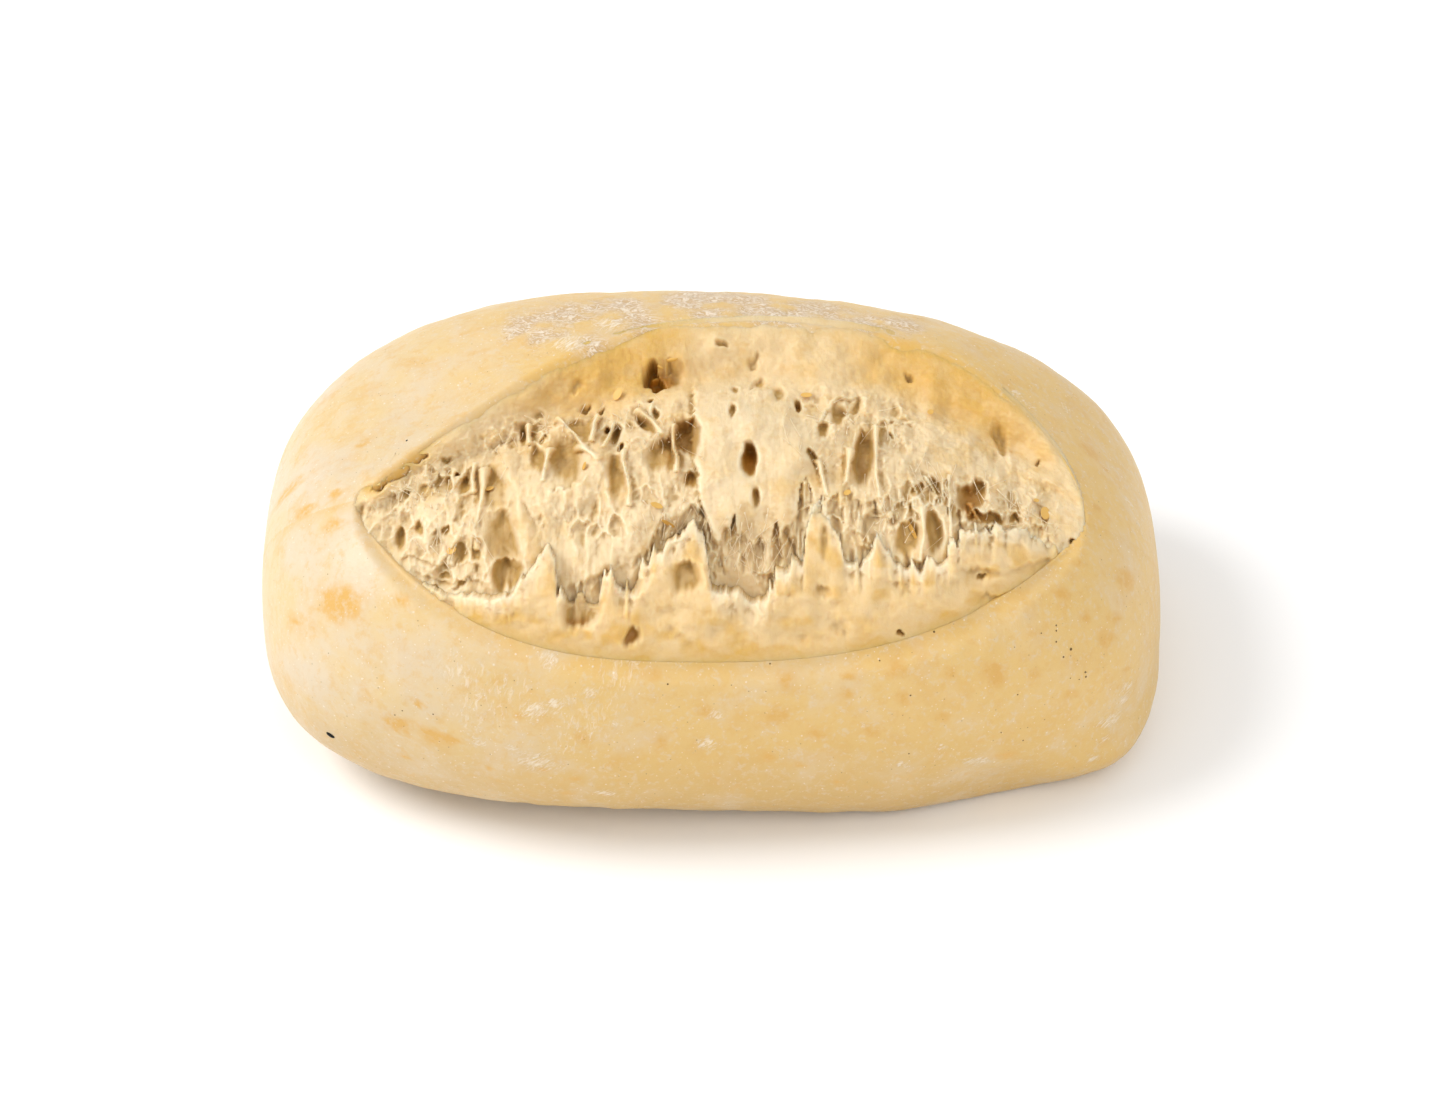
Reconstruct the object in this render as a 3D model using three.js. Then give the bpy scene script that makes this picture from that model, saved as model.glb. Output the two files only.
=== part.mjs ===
// A pale, part-baked bread roll: an oblong loaf with a flat base and a domed back, slashed lengthwise
// along its front shoulder. The slash has opened into a lens of torn crumb between two lips of crust.
// Millimetres. +Z is up, X runs along the roll, and the slash faces -Y and up. The origin is on the
// surface that the roll stands on, under its middle.
import * as THREE from "three";

// Body of the roll
const HALF_LENGTH = 60;
const HALF_WIDTH = 39;
const DOME_HEIGHT = 30.5; // from the widest level up to the back
const SEAT_DEPTH = 23; // from the widest level down, before the base is flattened
const WIDEST_LEVEL = 19; // height of the widest level over the base at mid-length
const LEFT_END = 2.9; // fullness of the ends in plan: 2 is an ellipse, more is squarer
const RIGHT_END = 3.0;
const SECTION = 2.6; // fullness of the cross-section
const BASE_EDGE = 2; // radius of the edge round the flat base
const RIGHT_END_BACK = 4; // how far the right end swings to the rear
const ENDS_BACK = 1;
const RIGHT_END_DROP = 5; // the right end sags lower than the left
const ENDS_DROP = 5;

// The slash. x runs along the roll, and v runs across it: over the surface, up from the slash's middle.
const SLASH_ANGLE = THREE.MathUtils.degToRad(118); // direction of v = 0 round the roll's axis, from the rear
const SLASH_RADIUS = 36; // millimetres of v for each radian
const SLASH_LEFT = -46.5;
const SLASH_RIGHT = 48.5;
const TIP_V = 1;
const TOP_LIP = { rise: 31.3, peak: 12, left: [2.2, 1], right: [2.5, 0.5] };
const BOTTOM_LIP = { rise: -23.3, peak: -4, left: [2.6, 0.7], right: [2.3, 0.7] };
const LIP_SWELL = 0.9; // the crust's edge stands proud by this much
const LIP_WIDTH = 3.2;
const TOP_WALL = { depth: 4.6, width: 8 };
const CREASE = { depth: 1.5, width: 2.2 };
const FLAP_DEPTH = 0.5; // the lower flap of crumb lies this far under the loaf's own surface

// The tear, where the crumb's upper sheet has pulled away from the lower flap
const TEAR = { left: -12.6, right: -8.2, step: [8, 14], end: -4.5 };
const TEAR_DEPTH = 5.2; // added to the top wall's depth, just above the tear
const TEAR_REACH = 24; // the crumb deepens over this distance down to the tear
const TEAR_CLIFF = 1.1;
const TEAR_MIDDLE = { least: 0.55, left: [-34, -14], right: [18, 44] }; // the tear is deepest in its middle
const RAGGED = [
  { height: 1.5, pitch: 9.4, shift: 2.0 },
  { height: 1.0, pitch: 5.3, shift: 0.6 },
];

// Cells of the crumb that the tear has opened: x, v, half-width, half-height and depth
const CELLS = [
  [-6, 20, 3.4, 3.2, 4.5],
  [4.8, 23.5, 1.4, 1.5, 2],
  [-17.5, 10, 2.2, 3.8, 3.2],
  [-8.5, 10.8, 1.8, 2.6, 3],
  [-4, 8.6, 1.8, 3.4, 3.6],
  [-7, 5, 2.8, 2.8, 2.4],
  [-12.5, 2.5, 1.9, 3.4, 2.4],
  [-18.8, 4, 3.2, 4.6, 3],
  [-27.8, 1.5, 2.4, 3.6, 2.2],
  [-32.5, 1.5, 1.5, 2.4, 2],
  [-31.5, -8, 2.6, 2.2, 2.6],
  [-26, -9.5, 3, 3.2, 3.8],
  [-16.5, -15.6, 3, 2.6, 3.2],
  [-10.5, -11.2, 2, 1.8, 2.8],
  [-3.5, -10.2, 2.2, 3, 2.6],
  [-10.5, -18.5, 1.5, 1.5, 2.4],
  [4.5, 4.7, 1.5, 3.4, 4],
  [11.8, 14.6, 1.8, 2.2, 3.4],
  [16.2, 13.2, 2.6, 3.4, 2.6],
  [19.2, 6.4, 2.1, 4.2, 3.2],
  [12, -1.5, 1.6, 3.6, 3],
  [27, 1.6, 2.8, 2.2, 2.2],
  [34, 2.6, 2.6, 2.8, 3.6],
  [36.8, 15, 2.2, 4, 1.4],
  [25, -5.2, 2.2, 2.8, 2.8],
  [18.5, -4.4, 2.2, 3, 2.4],
];

// Sheets and spikes of crumb that stand out of it: x and v of the root and of the tip, the half-widths
// there, and how far they stand out
const SHEETS = [
  [3, 12, 5, -8, 5.5, 3, 2.6],
  [-26.5, 1, -20.5, -11, 1.4, 2.2, 2.2],
  [-14, 17, -15, 5, 1.2, 0.8, 1.6],
  [22.5, 12, 22.5, -3, 1.8, 1.2, 1.8],
  [29.5, 14, 31, 4, 3, 2.2, 1.2],
  [-3, -11, -2.5, -2, 2, 1, 3.4],
  [14.5, -10, 13.6, 0, 3, 1, 4],
  [29.5, -9, 30.5, -4, 2.4, 1, 2.4],
  [38, -7.5, 38, -3.6, 3.6, 2.4, 1.8],
];

// Soft lumps and hollows of the crust: x, angle round the roll in degrees, half-width, and depth
const DIMPLES = [
  [-40, 85, 14, 2.8],
  [-52, 152, 7, 0.6],
  [-53, 108, 5, -0.5],
  [-42, 200, 14, 1.1],
  [8, 200, 26, 0.9],
  [38, 205, 12, 2.6],
  [54, 200, 10, -2.6],
  [52, 158, 10, -1],
  [48, 75, 12, 0.9],
  [20, 85, 22, -0.5],
  [30, 40, 12, 0.6],
  [-20, 25, 14, -0.6],
];

// Mesh: rows along the roll and columns round it, closest together in the slash
const ROWS_IN_SLASH = 68;
const ROWS_IN_END = 8;
const COLUMNS_IN_SLASH = 42;
const COLUMNS_OUTSIDE = 24;
const SLASH_MARGIN = 3.5; // the close columns reach this far past each lip
const END_FROM = 50; // x where the end's rows begin

const clamp = THREE.MathUtils.clamp;
const smooth = (from, to, x) => {
  const t = clamp((x - from) / (to - from), 0, 1);
  return t * t * (3 - 2 * t);
};
const mix = THREE.MathUtils.lerp;

// Position on the roll before the slash, and the point of its axis level with it.
function loaf(x, angle) {
  const s = clamp(x / HALF_LENGTH, -1, 1);
  const fullness = s < 0 ? LEFT_END : RIGHT_END;
  const taper = (1 - Math.abs(s) ** fullness) ** (1 / fullness);
  const c = Math.cos(angle);
  const h = Math.sin(angle);
  const round = (Math.abs(c) ** SECTION + Math.abs(h) ** SECTION) ** (-1 / SECTION);
  const axis = new THREE.Vector3(
    x,
    RIGHT_END_BACK * s + ENDS_BACK * s * s,
    WIDEST_LEVEL - RIGHT_END_DROP * s - ENDS_DROP * s * s,
  );
  const out = new THREE.Vector3(
    0,
    HALF_WIDTH * taper * round * c,
    (h > 0 ? DOME_HEIGHT : SEAT_DEPTH) * taper * round * h,
  );
  return { axis, out };
}

// Height of a lip over the slash's middle line: an arch from each tip of the slash to its peak.
function lip({ rise, peak, left, right }, x) {
  const toPeak = x < peak ? (peak - x) / (peak - SLASH_LEFT) : (x - peak) / (SLASH_RIGHT - peak);
  const [p, q] = x < peak ? left : right;
  return TIP_V + (rise - TIP_V) * Math.max(0, 1 - Math.min(1, toPeak) ** p) ** q;
}

// Height of the tear's ragged edge, v, at x.
function tear(x) {
  const run = mix(TEAR.left, TEAR.right, smooth(...TEAR.step, x));
  const level = mix(run, TEAR.end, smooth(SLASH_RIGHT - 24, SLASH_RIGHT, x));
  let ragged = 0;
  for (const { height, pitch, shift } of RAGGED) {
    ragged += height * Math.sin((2 * Math.PI * (x - shift)) / pitch);
  }
  return Math.max(level + ragged, lip(BOTTOM_LIP, x) + 2);
}

// How far the sheets and spikes of crumb stand out at x, v.
function sheets(x, v) {
  let most = 0;
  for (const [x0, v0, x1, v1, root, tip, height] of SHEETS) {
    const [runX, runV] = [x1 - x0, v1 - v0];
    const along = clamp(((x - x0) * runX + (v - v0) * runV) / (runX ** 2 + runV ** 2), 0, 1);
    const away = Math.hypot(x - x0 - runX * along, v - v0 - runV * along) / mix(root, tip, along);
    most = Math.max(most, height * (1 - smooth(0.35, 1.15, away)));
  }
  return most;
}

// Depth of the opened cells at x, v: each is a bowl with steep sides.
function cells(x, v) {
  let most = 0;
  for (const [cx, cv, halfWidth, halfHeight, depth] of CELLS) {
    const away = Math.hypot((x - cx) / halfWidth, (v - cv) / halfHeight);
    most = Math.max(most, depth * (1 - smooth(0.3, 1.2, away)));
  }
  return most;
}

// Depth of the slash under the loaf's own surface at x, v, and the swell of its lips as a negative depth.
function slash(x, v) {
  const belowTop = lip(TOP_LIP, x) - v;
  const aboveBottom = v - lip(BOTTOM_LIP, x);
  const inside = Math.min(belowTop, aboveBottom);
  const open = smooth(0, 12, belowTop + aboveBottom);
  if (inside <= 0) return -LIP_SWELL * open * Math.exp(-((inside / LIP_WIDTH) ** 2));
  const edge = tear(x);
  const wall = TOP_WALL.depth * smooth(0, TOP_WALL.width, belowTop);
  const spread = smooth(...TEAR_MIDDLE.left, x) * (1 - smooth(...TEAR_MIDDLE.right, x));
  const bed = wall + TEAR_DEPTH * mix(TEAR_MIDDLE.least, 1, spread) * smooth(edge + TEAR_REACH, edge, v);
  const crease = CREASE.depth * Math.exp(-(((aboveBottom - CREASE.width) / CREASE.width) ** 2));
  const flap = FLAP_DEPTH + crease;
  const crumb = mix(flap, bed, smooth(edge - TEAR_CLIFF, edge + TEAR_CLIFF, v));
  const depth = crumb + cells(x, v) - sheets(x, v) * smooth(0, 3, inside);
  return mix(-LIP_SWELL, Math.max(depth, 0.3), smooth(0, 1.6, inside)) * open;
}

// Soft lumps and hollows of the crust, as a depth.
function lumps(x, angle) {
  let depth = 0;
  for (const [cx, degrees, halfWidth, height] of DIMPLES) {
    const turn = angle - THREE.MathUtils.degToRad(degrees);
    const across = Math.atan2(Math.sin(turn), Math.cos(turn)) * SLASH_RADIUS;
    depth += height * Math.exp(-((x - cx) ** 2 + across ** 2) / halfWidth ** 2);
  }
  return depth;
}

// Height over the base: zero where the loaf would sink below it, with a rounded edge round the flat.
function seated(z) {
  if (z <= -BASE_EDGE) return 0;
  return z < BASE_EDGE ? (z + BASE_EDGE) ** 2 / (4 * BASE_EDGE) : z;
}

// Point of the finished crust and crumb.
function surface(x, angle) {
  const { axis, out } = loaf(x, angle);
  const reach = out.length();
  if (reach < 1e-6) return axis;
  const v = (SLASH_ANGLE - angle) * SLASH_RADIUS;
  const fade = clamp(reach / 12, 0, 1);
  const depth = (slash(x, v) + lumps(x, angle)) * fade;
  const point = axis.addScaledVector(out, 1 - depth / reach);
  point.z = seated(point.z);
  return point;
}

// Rows along the roll: even through the slash, and by even steps of angle round each end.
function rowPositions() {
  const rows = [];
  const sEnd = END_FROM / HALF_LENGTH;
  const endRows = (fullness) => {
    const taper = (1 - sEnd ** fullness) ** (1 / fullness);
    const start = Math.atan2(taper, sEnd);
    return Array.from({ length: ROWS_IN_END }, (_, i) => {
      const a = start * (1 - (i + 1) / (ROWS_IN_END + 0.5));
      const round = (Math.cos(a) ** fullness + Math.sin(a) ** fullness) ** (-1 / fullness);
      return HALF_LENGTH * round * Math.cos(a);
    });
  };
  endRows(LEFT_END).reverse().forEach((x) => rows.push(-x));
  for (let i = 0; i <= ROWS_IN_SLASH; i++) rows.push(mix(-END_FROM, END_FROM, i / ROWS_IN_SLASH));
  rows.push(...endRows(RIGHT_END));
  return rows;
}

// Columns round the roll at x: close together between the lips, and wider over the rest.
function columnAngles(x) {
  const top = Math.max(lip(TOP_LIP, x), TIP_V + 6) + SLASH_MARGIN;
  const bottom = Math.min(lip(BOTTOM_LIP, x), TIP_V - 6) - SLASH_MARGIN;
  const from = SLASH_ANGLE - top / SLASH_RADIUS;
  const to = SLASH_ANGLE - bottom / SLASH_RADIUS;
  const angles = [];
  for (let i = 0; i < COLUMNS_IN_SLASH; i++) angles.push(mix(from, to, i / COLUMNS_IN_SLASH));
  for (let i = 0; i < COLUMNS_OUTSIDE; i++) angles.push(mix(to, from + 2 * Math.PI, i / COLUMNS_OUTSIDE));
  return angles;
}

// The same direction round the roll, as an angle at most half a turn past the slash's middle.
function wrapped(angle) {
  const turn = 2 * Math.PI;
  return angle > SLASH_ANGLE + Math.PI ? angle - turn : angle;
}

function rollGeometry() {
  const positions = [];
  const faces = [];
  const rows = rowPositions();
  const columns = COLUMNS_IN_SLASH + COLUMNS_OUTSIDE;
  for (const x of rows) {
    for (const angle of columnAngles(x)) positions.push(...surface(x, wrapped(angle)).toArray());
  }
  const left = positions.length / 3;
  positions.push(...surface(-HALF_LENGTH, 0).toArray());
  const right = positions.length / 3;
  positions.push(...surface(HALF_LENGTH, 0).toArray());
  for (let j = 0; j < columns; j++) {
    const next = (j + 1) % columns;
    for (let i = 0; i + 1 < rows.length; i++) {
      const [a, b] = [i * columns + j, i * columns + next];
      const [c, d] = [a + columns, b + columns];
      faces.push(a, b, d, a, d, c);
    }
    const last = (rows.length - 1) * columns;
    faces.push(left, next, j, right, last + j, last + next);
  }
  const geometry = new THREE.BufferGeometry();
  geometry.setAttribute("position", new THREE.Float32BufferAttribute(positions, 3));
  geometry.setIndex(faces);
  geometry.computeBoundingBox();
  const middle = geometry.boundingBox.getCenter(new THREE.Vector3());
  geometry.translate(-middle.x, -middle.y, 0);
  geometry.computeVertexNormals();
  return geometry;
}

const crust = new THREE.MeshStandardMaterial({ color: 0xe6cf9f, roughness: 0.8, metalness: 0 });
const roll = new THREE.Mesh(rollGeometry(), crust);
roll.name = "bread_roll";

const group = new THREE.Group();
group.add(roll);
export default group;
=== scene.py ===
# A pale, part-baked bread roll: an oblong loaf, floured here and there, with a slash along its front
# shoulder that has torn open to webs and hollows of crumb.
# Lengths are millimetres until a mesh is made. X runs along the roll, +Z is up, the slash faces -Y and up.
import itertools
import math

import bpy
import numpy as np
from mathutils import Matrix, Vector


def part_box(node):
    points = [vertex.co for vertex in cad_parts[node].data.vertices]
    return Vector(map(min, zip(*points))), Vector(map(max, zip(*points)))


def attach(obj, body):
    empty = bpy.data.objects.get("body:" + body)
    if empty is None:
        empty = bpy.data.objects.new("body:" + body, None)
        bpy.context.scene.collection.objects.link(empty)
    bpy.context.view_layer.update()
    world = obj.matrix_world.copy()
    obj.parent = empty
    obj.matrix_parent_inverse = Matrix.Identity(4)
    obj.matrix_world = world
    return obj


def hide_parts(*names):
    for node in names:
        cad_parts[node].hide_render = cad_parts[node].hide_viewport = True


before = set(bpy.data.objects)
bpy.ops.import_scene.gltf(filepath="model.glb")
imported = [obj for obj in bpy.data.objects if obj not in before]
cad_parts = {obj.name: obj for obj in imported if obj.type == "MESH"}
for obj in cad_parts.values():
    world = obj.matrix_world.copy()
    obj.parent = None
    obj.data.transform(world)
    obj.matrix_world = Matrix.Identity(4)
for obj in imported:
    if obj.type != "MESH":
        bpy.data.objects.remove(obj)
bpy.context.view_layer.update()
MM = 0.001

# Body of the roll, as in the solid
HALF_LENGTH = 60
HALF_WIDTH = 39
DOME_HEIGHT = 30.5
SEAT_DEPTH = 23
WIDEST_LEVEL = 19
LEFT_END = 2.9
RIGHT_END = 3.0
SECTION = 2.6
BASE_EDGE = 2
RIGHT_END_BACK = 4
ENDS_BACK = 1
RIGHT_END_DROP = 5
ENDS_DROP = 5

# The slash: v runs across it, over the surface, up from its middle; depth is measured in towards the axis
SLASH_ANGLE = math.radians(118)
SLASH_RADIUS = 36
SLASH_LEFT = -46.5
SLASH_RIGHT = 48.5
TIP_V = 1
TOP_LIP = dict(rise=31.3, peak=12, left=(2.2, 1), right=(2.5, 0.5))
BOTTOM_LIP = dict(rise=-24.6, peak=-4, left=(2.6, 0.7), right=(2.3, 0.7))
LIP_SWELL = 0.45
LIP_WIDTH = 3.2
NOTCH_HEIGHT = 4.4
NOTCH_END = (-41, -43)

# Stretches along the slash: where each starts, is full from, is full up to, and stops
OPEN_SLASH = (-46, -30, 38, 49)
WIDE_BAND = (-34, -12, 42, 49)
GOLD_LEFT = (-36, -12, -9, 0)
GOLD_RIGHT = (14, 26, 36, 47)
DEEP_TEAR = (-12, -3, 10, 16)
CAVITY = (-10, -5, 10, 13)
CAVITY_FOOT = (-12, -8, 12, 16)

# The smooth band under the top lip: its width at the ends, and how much wider it is between them
BAND_WIDTH = 2.2
BAND_WIDENS = 4.3

# The bed of the crumb: how deep the wall under the top lip goes in at the tips, and how much more between
# them; and how far the face falls to the tear, and how much more in the middle
WALL_DEPTH = 1.2
WALL_DEEPENS = 3.0
TEAR_DEPTH = 0.8
TEAR_DEEPENS = 1.9

# Soft lumps and hollows of the crust: x, angle round the roll in degrees, half-width, depth
DIMPLES = [
    (-40, 85, 14, 2.8), (-52, 152, 7, 0.6), (-53, 108, 5, -0.5), (-42, 200, 14, 1.1), (8, 200, 26, 0.9),
    (38, 205, 12, 2.6), (54, 200, 10, -2.6), (52, 158, 10, -1), (48, 75, 12, 0.9), (20, 85, 22, -0.5),
    (30, 40, 12, 0.6), (-20, 25, 14, -0.6),
]

# Hollows of the torn crumb: x, v, half-width, half-height, depth, lean sideways for each mm up
HOLLOWS = [
    (-43.2, 3.9, 1.2, 1.1, 1.6, 0.4), (-41.0, 6.4, 1.4, 1.4, 1.6, 0.5), (-38.4, 9.2, 1.7, 1.1, 1.4, 0.5),
    (-34.9, 8.0, 0.7, 1.0, 1.0, 0.1), (-33.4, 4.9, 0.45, 0.5, 1.6, 0.0), (-32.3, 2.4, 1.0, 2.6, 1.4, 0.1),
    (-37.5, 2.7, 0.6, 1.3, 0.9, 0.3), (-35.7, 1.0, 1.2, 0.7, 0.8, 0.4), (-40.3, -6.0, 0.8, 2.7, 1.8, 0.0),
    (-37.8, -4.7, 0.9, 1.8, 1.2, 0.0), (-34.3, -5.3, 0.6, 1.0, 1.0, 0.0),
    (-32.6, -8.8, 1.1, 1.9, 1.3, -0.1), (-30.6, -9.0, 0.9, 1.8, 1.3, -0.1),
    (-34.3, -12.0, 0.9, 0.9, 1.2, 0.0), (-35.6, -13.7, 0.9, 0.6, 0.9, -0.4),
    (-32.5, -13.2, 0.8, 0.6, 0.8, 0.2), (-28.2, 1.0, 2.1, 5.2, 1.1, -0.12),
    (-27.4, -7.0, 2.7, 5.5, 1.4, -0.10), (-26.6, -11.6, 2.3, 2.7, 2.4, 0.0),
    (-26.3, 10.3, 1.1, 2.6, 0.9, 0.0), (-24.9, 12.0, 0.8, 3.3, 1.3, -0.02),
    (-23.0, 16.3, 0.9, 1.0, 0.6, 0.0), (-22.2, 10.6, 0.7, 1.0, 1.0, 0.0), (-22.9, 6.0, 1.25, 3.1, 1.5, 0.0),
    (-19.4, 5.4, 2.8, 6.4, 1.6, -0.12), (-17.7, 12.2, 1.8, 3.6, 1.7, -0.1),
    (-16.9, 16.6, 0.6, 0.9, 0.9, 0.0), (-13.9, 11.1, 0.55, 0.9, 1.5, 0.0),
    (-12.9, 10.0, 0.9, 2.3, 1.4, 0.25), (-12.1, 7.4, 0.55, 1.0, 1.5, 0.0),
    (-12.8, 1.8, 1.25, 4.7, 1.5, 0.0), (-8.8, 12.1, 0.9, 3.0, 1.6, -0.3), (-7.6, 14.2, 0.5, 1.1, 1.2, 0.0),
    (-6.7, 6.7, 2.7, 3.7, 1.7, 0.1), (-3.9, 9.6, 1.9, 4.0, 2.4, -0.05), (-3.1, 1.6, 1.2, 2.2, 1.6, 0.0),
    (-18.2, 21.0, 1.1, 1.8, 0.5, 0.1), (-14.8, 16.2, 0.5, 0.6, 0.8, 0.0), (-8.4, 17.4, 0.5, 0.8, 0.9, 0.0),
    (-6.3, 22.7, 2.6, 3.3, 1.5, 0.1), (-8.2, 24.0, 0.8, 2.0, 2.8, 0.0), (-7.3, 21.8, 1.1, 1.8, 2.6, -0.3),
    (4.5, 5.2, 0.85, 3.8, 2.2, 0.0), (5.2, -0.8, 0.7, 1.7, 1.2, 0.0), (2.7, 20.0, 0.6, 1.3, 0.8, 0.0),
    (2.3, 14.3, 0.4, 2.4, 1.2, 0.0), (5.0, 26.0, 1.1, 1.3, 0.6, 0.0), (1.0, 28.8, 0.6, 0.8, 0.8, 0.0),
    (5.9, 22.4, 0.9, 1.3, 0.8, 0.0), (8.3, 19.4, 1.1, 2.8, 0.9, 0.05), (10.9, 16.7, 0.65, 2.1, 1.6, 0.0),
    (14.1, 11.9, 1.0, 2.3, 1.2, 0.2), (16.0, 14.8, 1.2, 3.6, 1.5, 0.15), (18.5, 17.4, 0.9, 2.6, 1.0, 0.2),
    (12.6, 6.2, 0.8, 1.5, 1.4, -0.2), (19.1, 6.6, 1.7, 6.2, 2.2, 0.1), (19.7, 4.6, 0.8, 3.3, 1.2, 0.0),
    (23.7, 18.0, 0.7, 2.4, 0.8, 0.0), (23.0, 12.0, 0.5, 0.8, 0.8, 0.0), (21.9, 14.6, 0.6, 1.2, 0.6, 0.2),
    (25.8, 25.7, 0.65, 1.0, 0.9, 0.0), (37.6, 16.5, 1.2, 4.2, 1.0, -0.1), (26.1, 1.9, 1.4, 1.6, 1.2, 0.3),
    (28.6, 2.8, 1.1, 2.2, 1.4, -0.1), (30.3, 3.9, 0.5, 0.9, 1.2, 0.0), (33.6, 2.0, 1.9, 4.2, 2.3, 0.25),
    (35.2, -1.2, 3.4, 1.4, 1.8, 0.0), (39.0, 0.1, 1.0, 1.2, 1.4, 0.2), (42.6, 2.0, 1.2, 2.0, 0.8, 0.0),
    (46.6, -2.2, 0.7, 0.9, 1.0, 0.0), (24.9, -5.4, 1.8, 3.4, 1.8, 0.1), (28.3, -4.6, 1.4, 3.9, 2.0, 0.0),
    (42.6, 13.4, 0.4, 0.7, 0.5, 0.0),
]

# Strands and ribs that bridge the hollows: from x, v to x, v, half-width, height over the bed
STRANDS = [
    (-26.9, 6.4, -23.4, -9.5, 1.1, 0.35), (-20.2, 14.6, -16.9, 7.4, 0.24, 1.0),
    (-17.0, 7.6, -15.0, 5.6, 0.55, 1.1), (-23.9, 9.6, -24.0, 14.0, 0.28, 0.6),
    (-21.5, 7.6, -21.9, 2.0, 0.25, 0.9), (-11.6, 6.6, -10.9, -2.2, 0.25, 0.9),
    (-13.4, 12.4, -14.4, 7.6, 0.16, 0.8), (-9.6, 15.2, -6.9, 10.2, 0.42, 1.0),
    (-5.2, 11.8, -4.9, 3.2, 0.2, 0.8), (-8.4, 23.0, -4.2, 24.6, 0.16, -1.2),
    (-15.6, 14.4, -15.9, 9.0, 0.25, 0.9), (21.1, 13.4, 20.9, 0.4, 0.26, 0.9),
    (17.6, 8.0, 16.9, 1.8, 0.3, 1.1), (13.0, 5.4, 14.6, 0.2, 0.3, 1.0), (27.2, 4.6, 29.3, -0.3, 0.13, 0.4),
    (25.4, 3.4, 26.9, 0.2, 0.13, 0.4), (29.6, 4.6, 29.2, -0.4, 0.13, 0.5),
    (30.6, 5.4, 30.4, -4.6, 0.25, 0.6), (26.9, -0.8, 26.2, -8.6, 0.35, 0.9),
    (33.0, 0.9, 34.2, -1.8, 0.2, 0.5), (-29.9, 5.0, -30.4, -8.0, 0.35, 0.6),
    (-31.2, 6.6, -31.3, 1.0, 0.3, 0.5),
]

# Hem of the upper crumb, where it hangs torn over the cavity: x, v
HEM = [
    (-22.5, -13), (-20, -14), (-18, -13.4), (-16.5, -12.7), (-15, -11.9), (-13, -10.7), (-11.5, -10),
    (-10, -9.4), (-8.6, -8.4), (-7.6, -6.4), (-6, -4.8), (-4, -3.4), (-2.4, -1.6), (-1.6, -2.4),
    (-0.9, -4.4), (-0.3, -6.8), (0.4, -7.7), (1, -5.2), (1.9, -5.6), (2.5, -3.2), (3.1, -6.2), (4.3, -6.4),
    (5, -8.2), (5.9, -6.4), (7, -7.6), (7.8, -3.6), (8.6, -5.6), (9.6, -5), (10.5, -1.6), (11, 1.4),
    (11.7, 2.6), (12.4, 0.6), (13.2, -0.6), (14.2, 0.4), (15.2, 0.2), (16.2, 1.2), (17.2, 2.6), (18, 0),
    (20.4, 0), (21.2, -1.8), (22.5, -2.6), (24, -0.8), (25, -9), (30.4, -9), (31.4, 0.4), (33, -1),
    (36, -1.4), (38, -0.5), (40, 0.4), (41.4, -0.6), (44, 0.4), (46, -2.2), (49, -4),
]

# Torn edge of the lower flap: x, v
FLAP_EDGE = [
    (-50, -3), (-44, -5), (-41.5, -9.5), (-37, -13.5), (-34, -15), (-28.6, -15.4), (-26, -15),
    (-24.4, -13.2), (-22.6, -10.4), (-21.2, -8.8), (-20.3, -10), (-19.9, -15.4), (-18.6, -16.4),
    (-14.9, -16.6), (-14.2, -12.6), (-13.6, -12.0), (-12.8, -13.2), (-12.2, -14.4), (-10.8, -15.0),
    (-9.9, -13.6), (-9.2, -10.2), (-8.5, -11.2), (-7.8, -9), (-6.7, -9.4), (-6, -7.8), (-4.6, -7.4),
    (-3.8, -6.4), (-3.2, -5.2), (-2.6, -4.4), (-2.1, -6.2), (-1.4, -7.0), (-0.9, -9.6), (-0.4, -13.8),
    (1, -14.4), (3, -14.4), (4.6, -15.6), (6.3, -15.6), (7.4, -13.8), (9, -12.2), (9.9, -10.2),
    (11.2, -10.4), (11.6, -5.6), (12.7, -3), (13.4, -0.8), (14.2, -2.8), (15, -4.8), (16, -6.2),
    (16.6, -9.6), (18, -10.2), (20.2, -9.6), (20.7, -5.8), (21.4, -7.2), (22.4, -8), (23.2, -10),
    (26.4, -10), (27, -8.8), (28.4, -9.6), (29.7, -8.4), (30, -5.6), (31.2, -6.2), (32, -4), (33.6, -3.7),
    (35.6, -3.8), (36.3, -1.7), (37, -3), (39, -2.6), (41, -2.2), (42.2, -2.8), (43.2, -3.3), (44.4, -2),
    (45, -4.8), (49, -6),
]

# Hollows of the flap, as for the crumb
FLAP_HOLLOWS = [
    (-17.0, -16.8, 2.7, 2.9, 2.2, 0.1), (-10.6, -13.0, 1.5, 1.9, 1.2, 0.0),
    (-3.6, -11.8, 2.4, 2.6, 1.9, 0.0), (-10.6, -20.2, 1.5, 1.7, 1.2, 0.0),
    (15.8, -18.0, 1.8, 1.8, 0.5, 0.0), (23.6, -18.6, 0.6, 0.7, 1.0, 0.0), (13.6, -13.4, 1.3, 1.1, 0.6, 0.0),
    (24.4, -12.4, 1.1, 0.9, 0.5, 0.0), (34.2, -10.0, 0.7, 0.45, 1.0, 0.0),
    (38.2, -12.6, 1.9, 0.8, 0.9, 1.0), (14.0, -6.2, 0.9, 3.2, 0.7, 0.1), (-5.4, -8.4, 0.8, 1.0, 0.5, 0.3),
]

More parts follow.
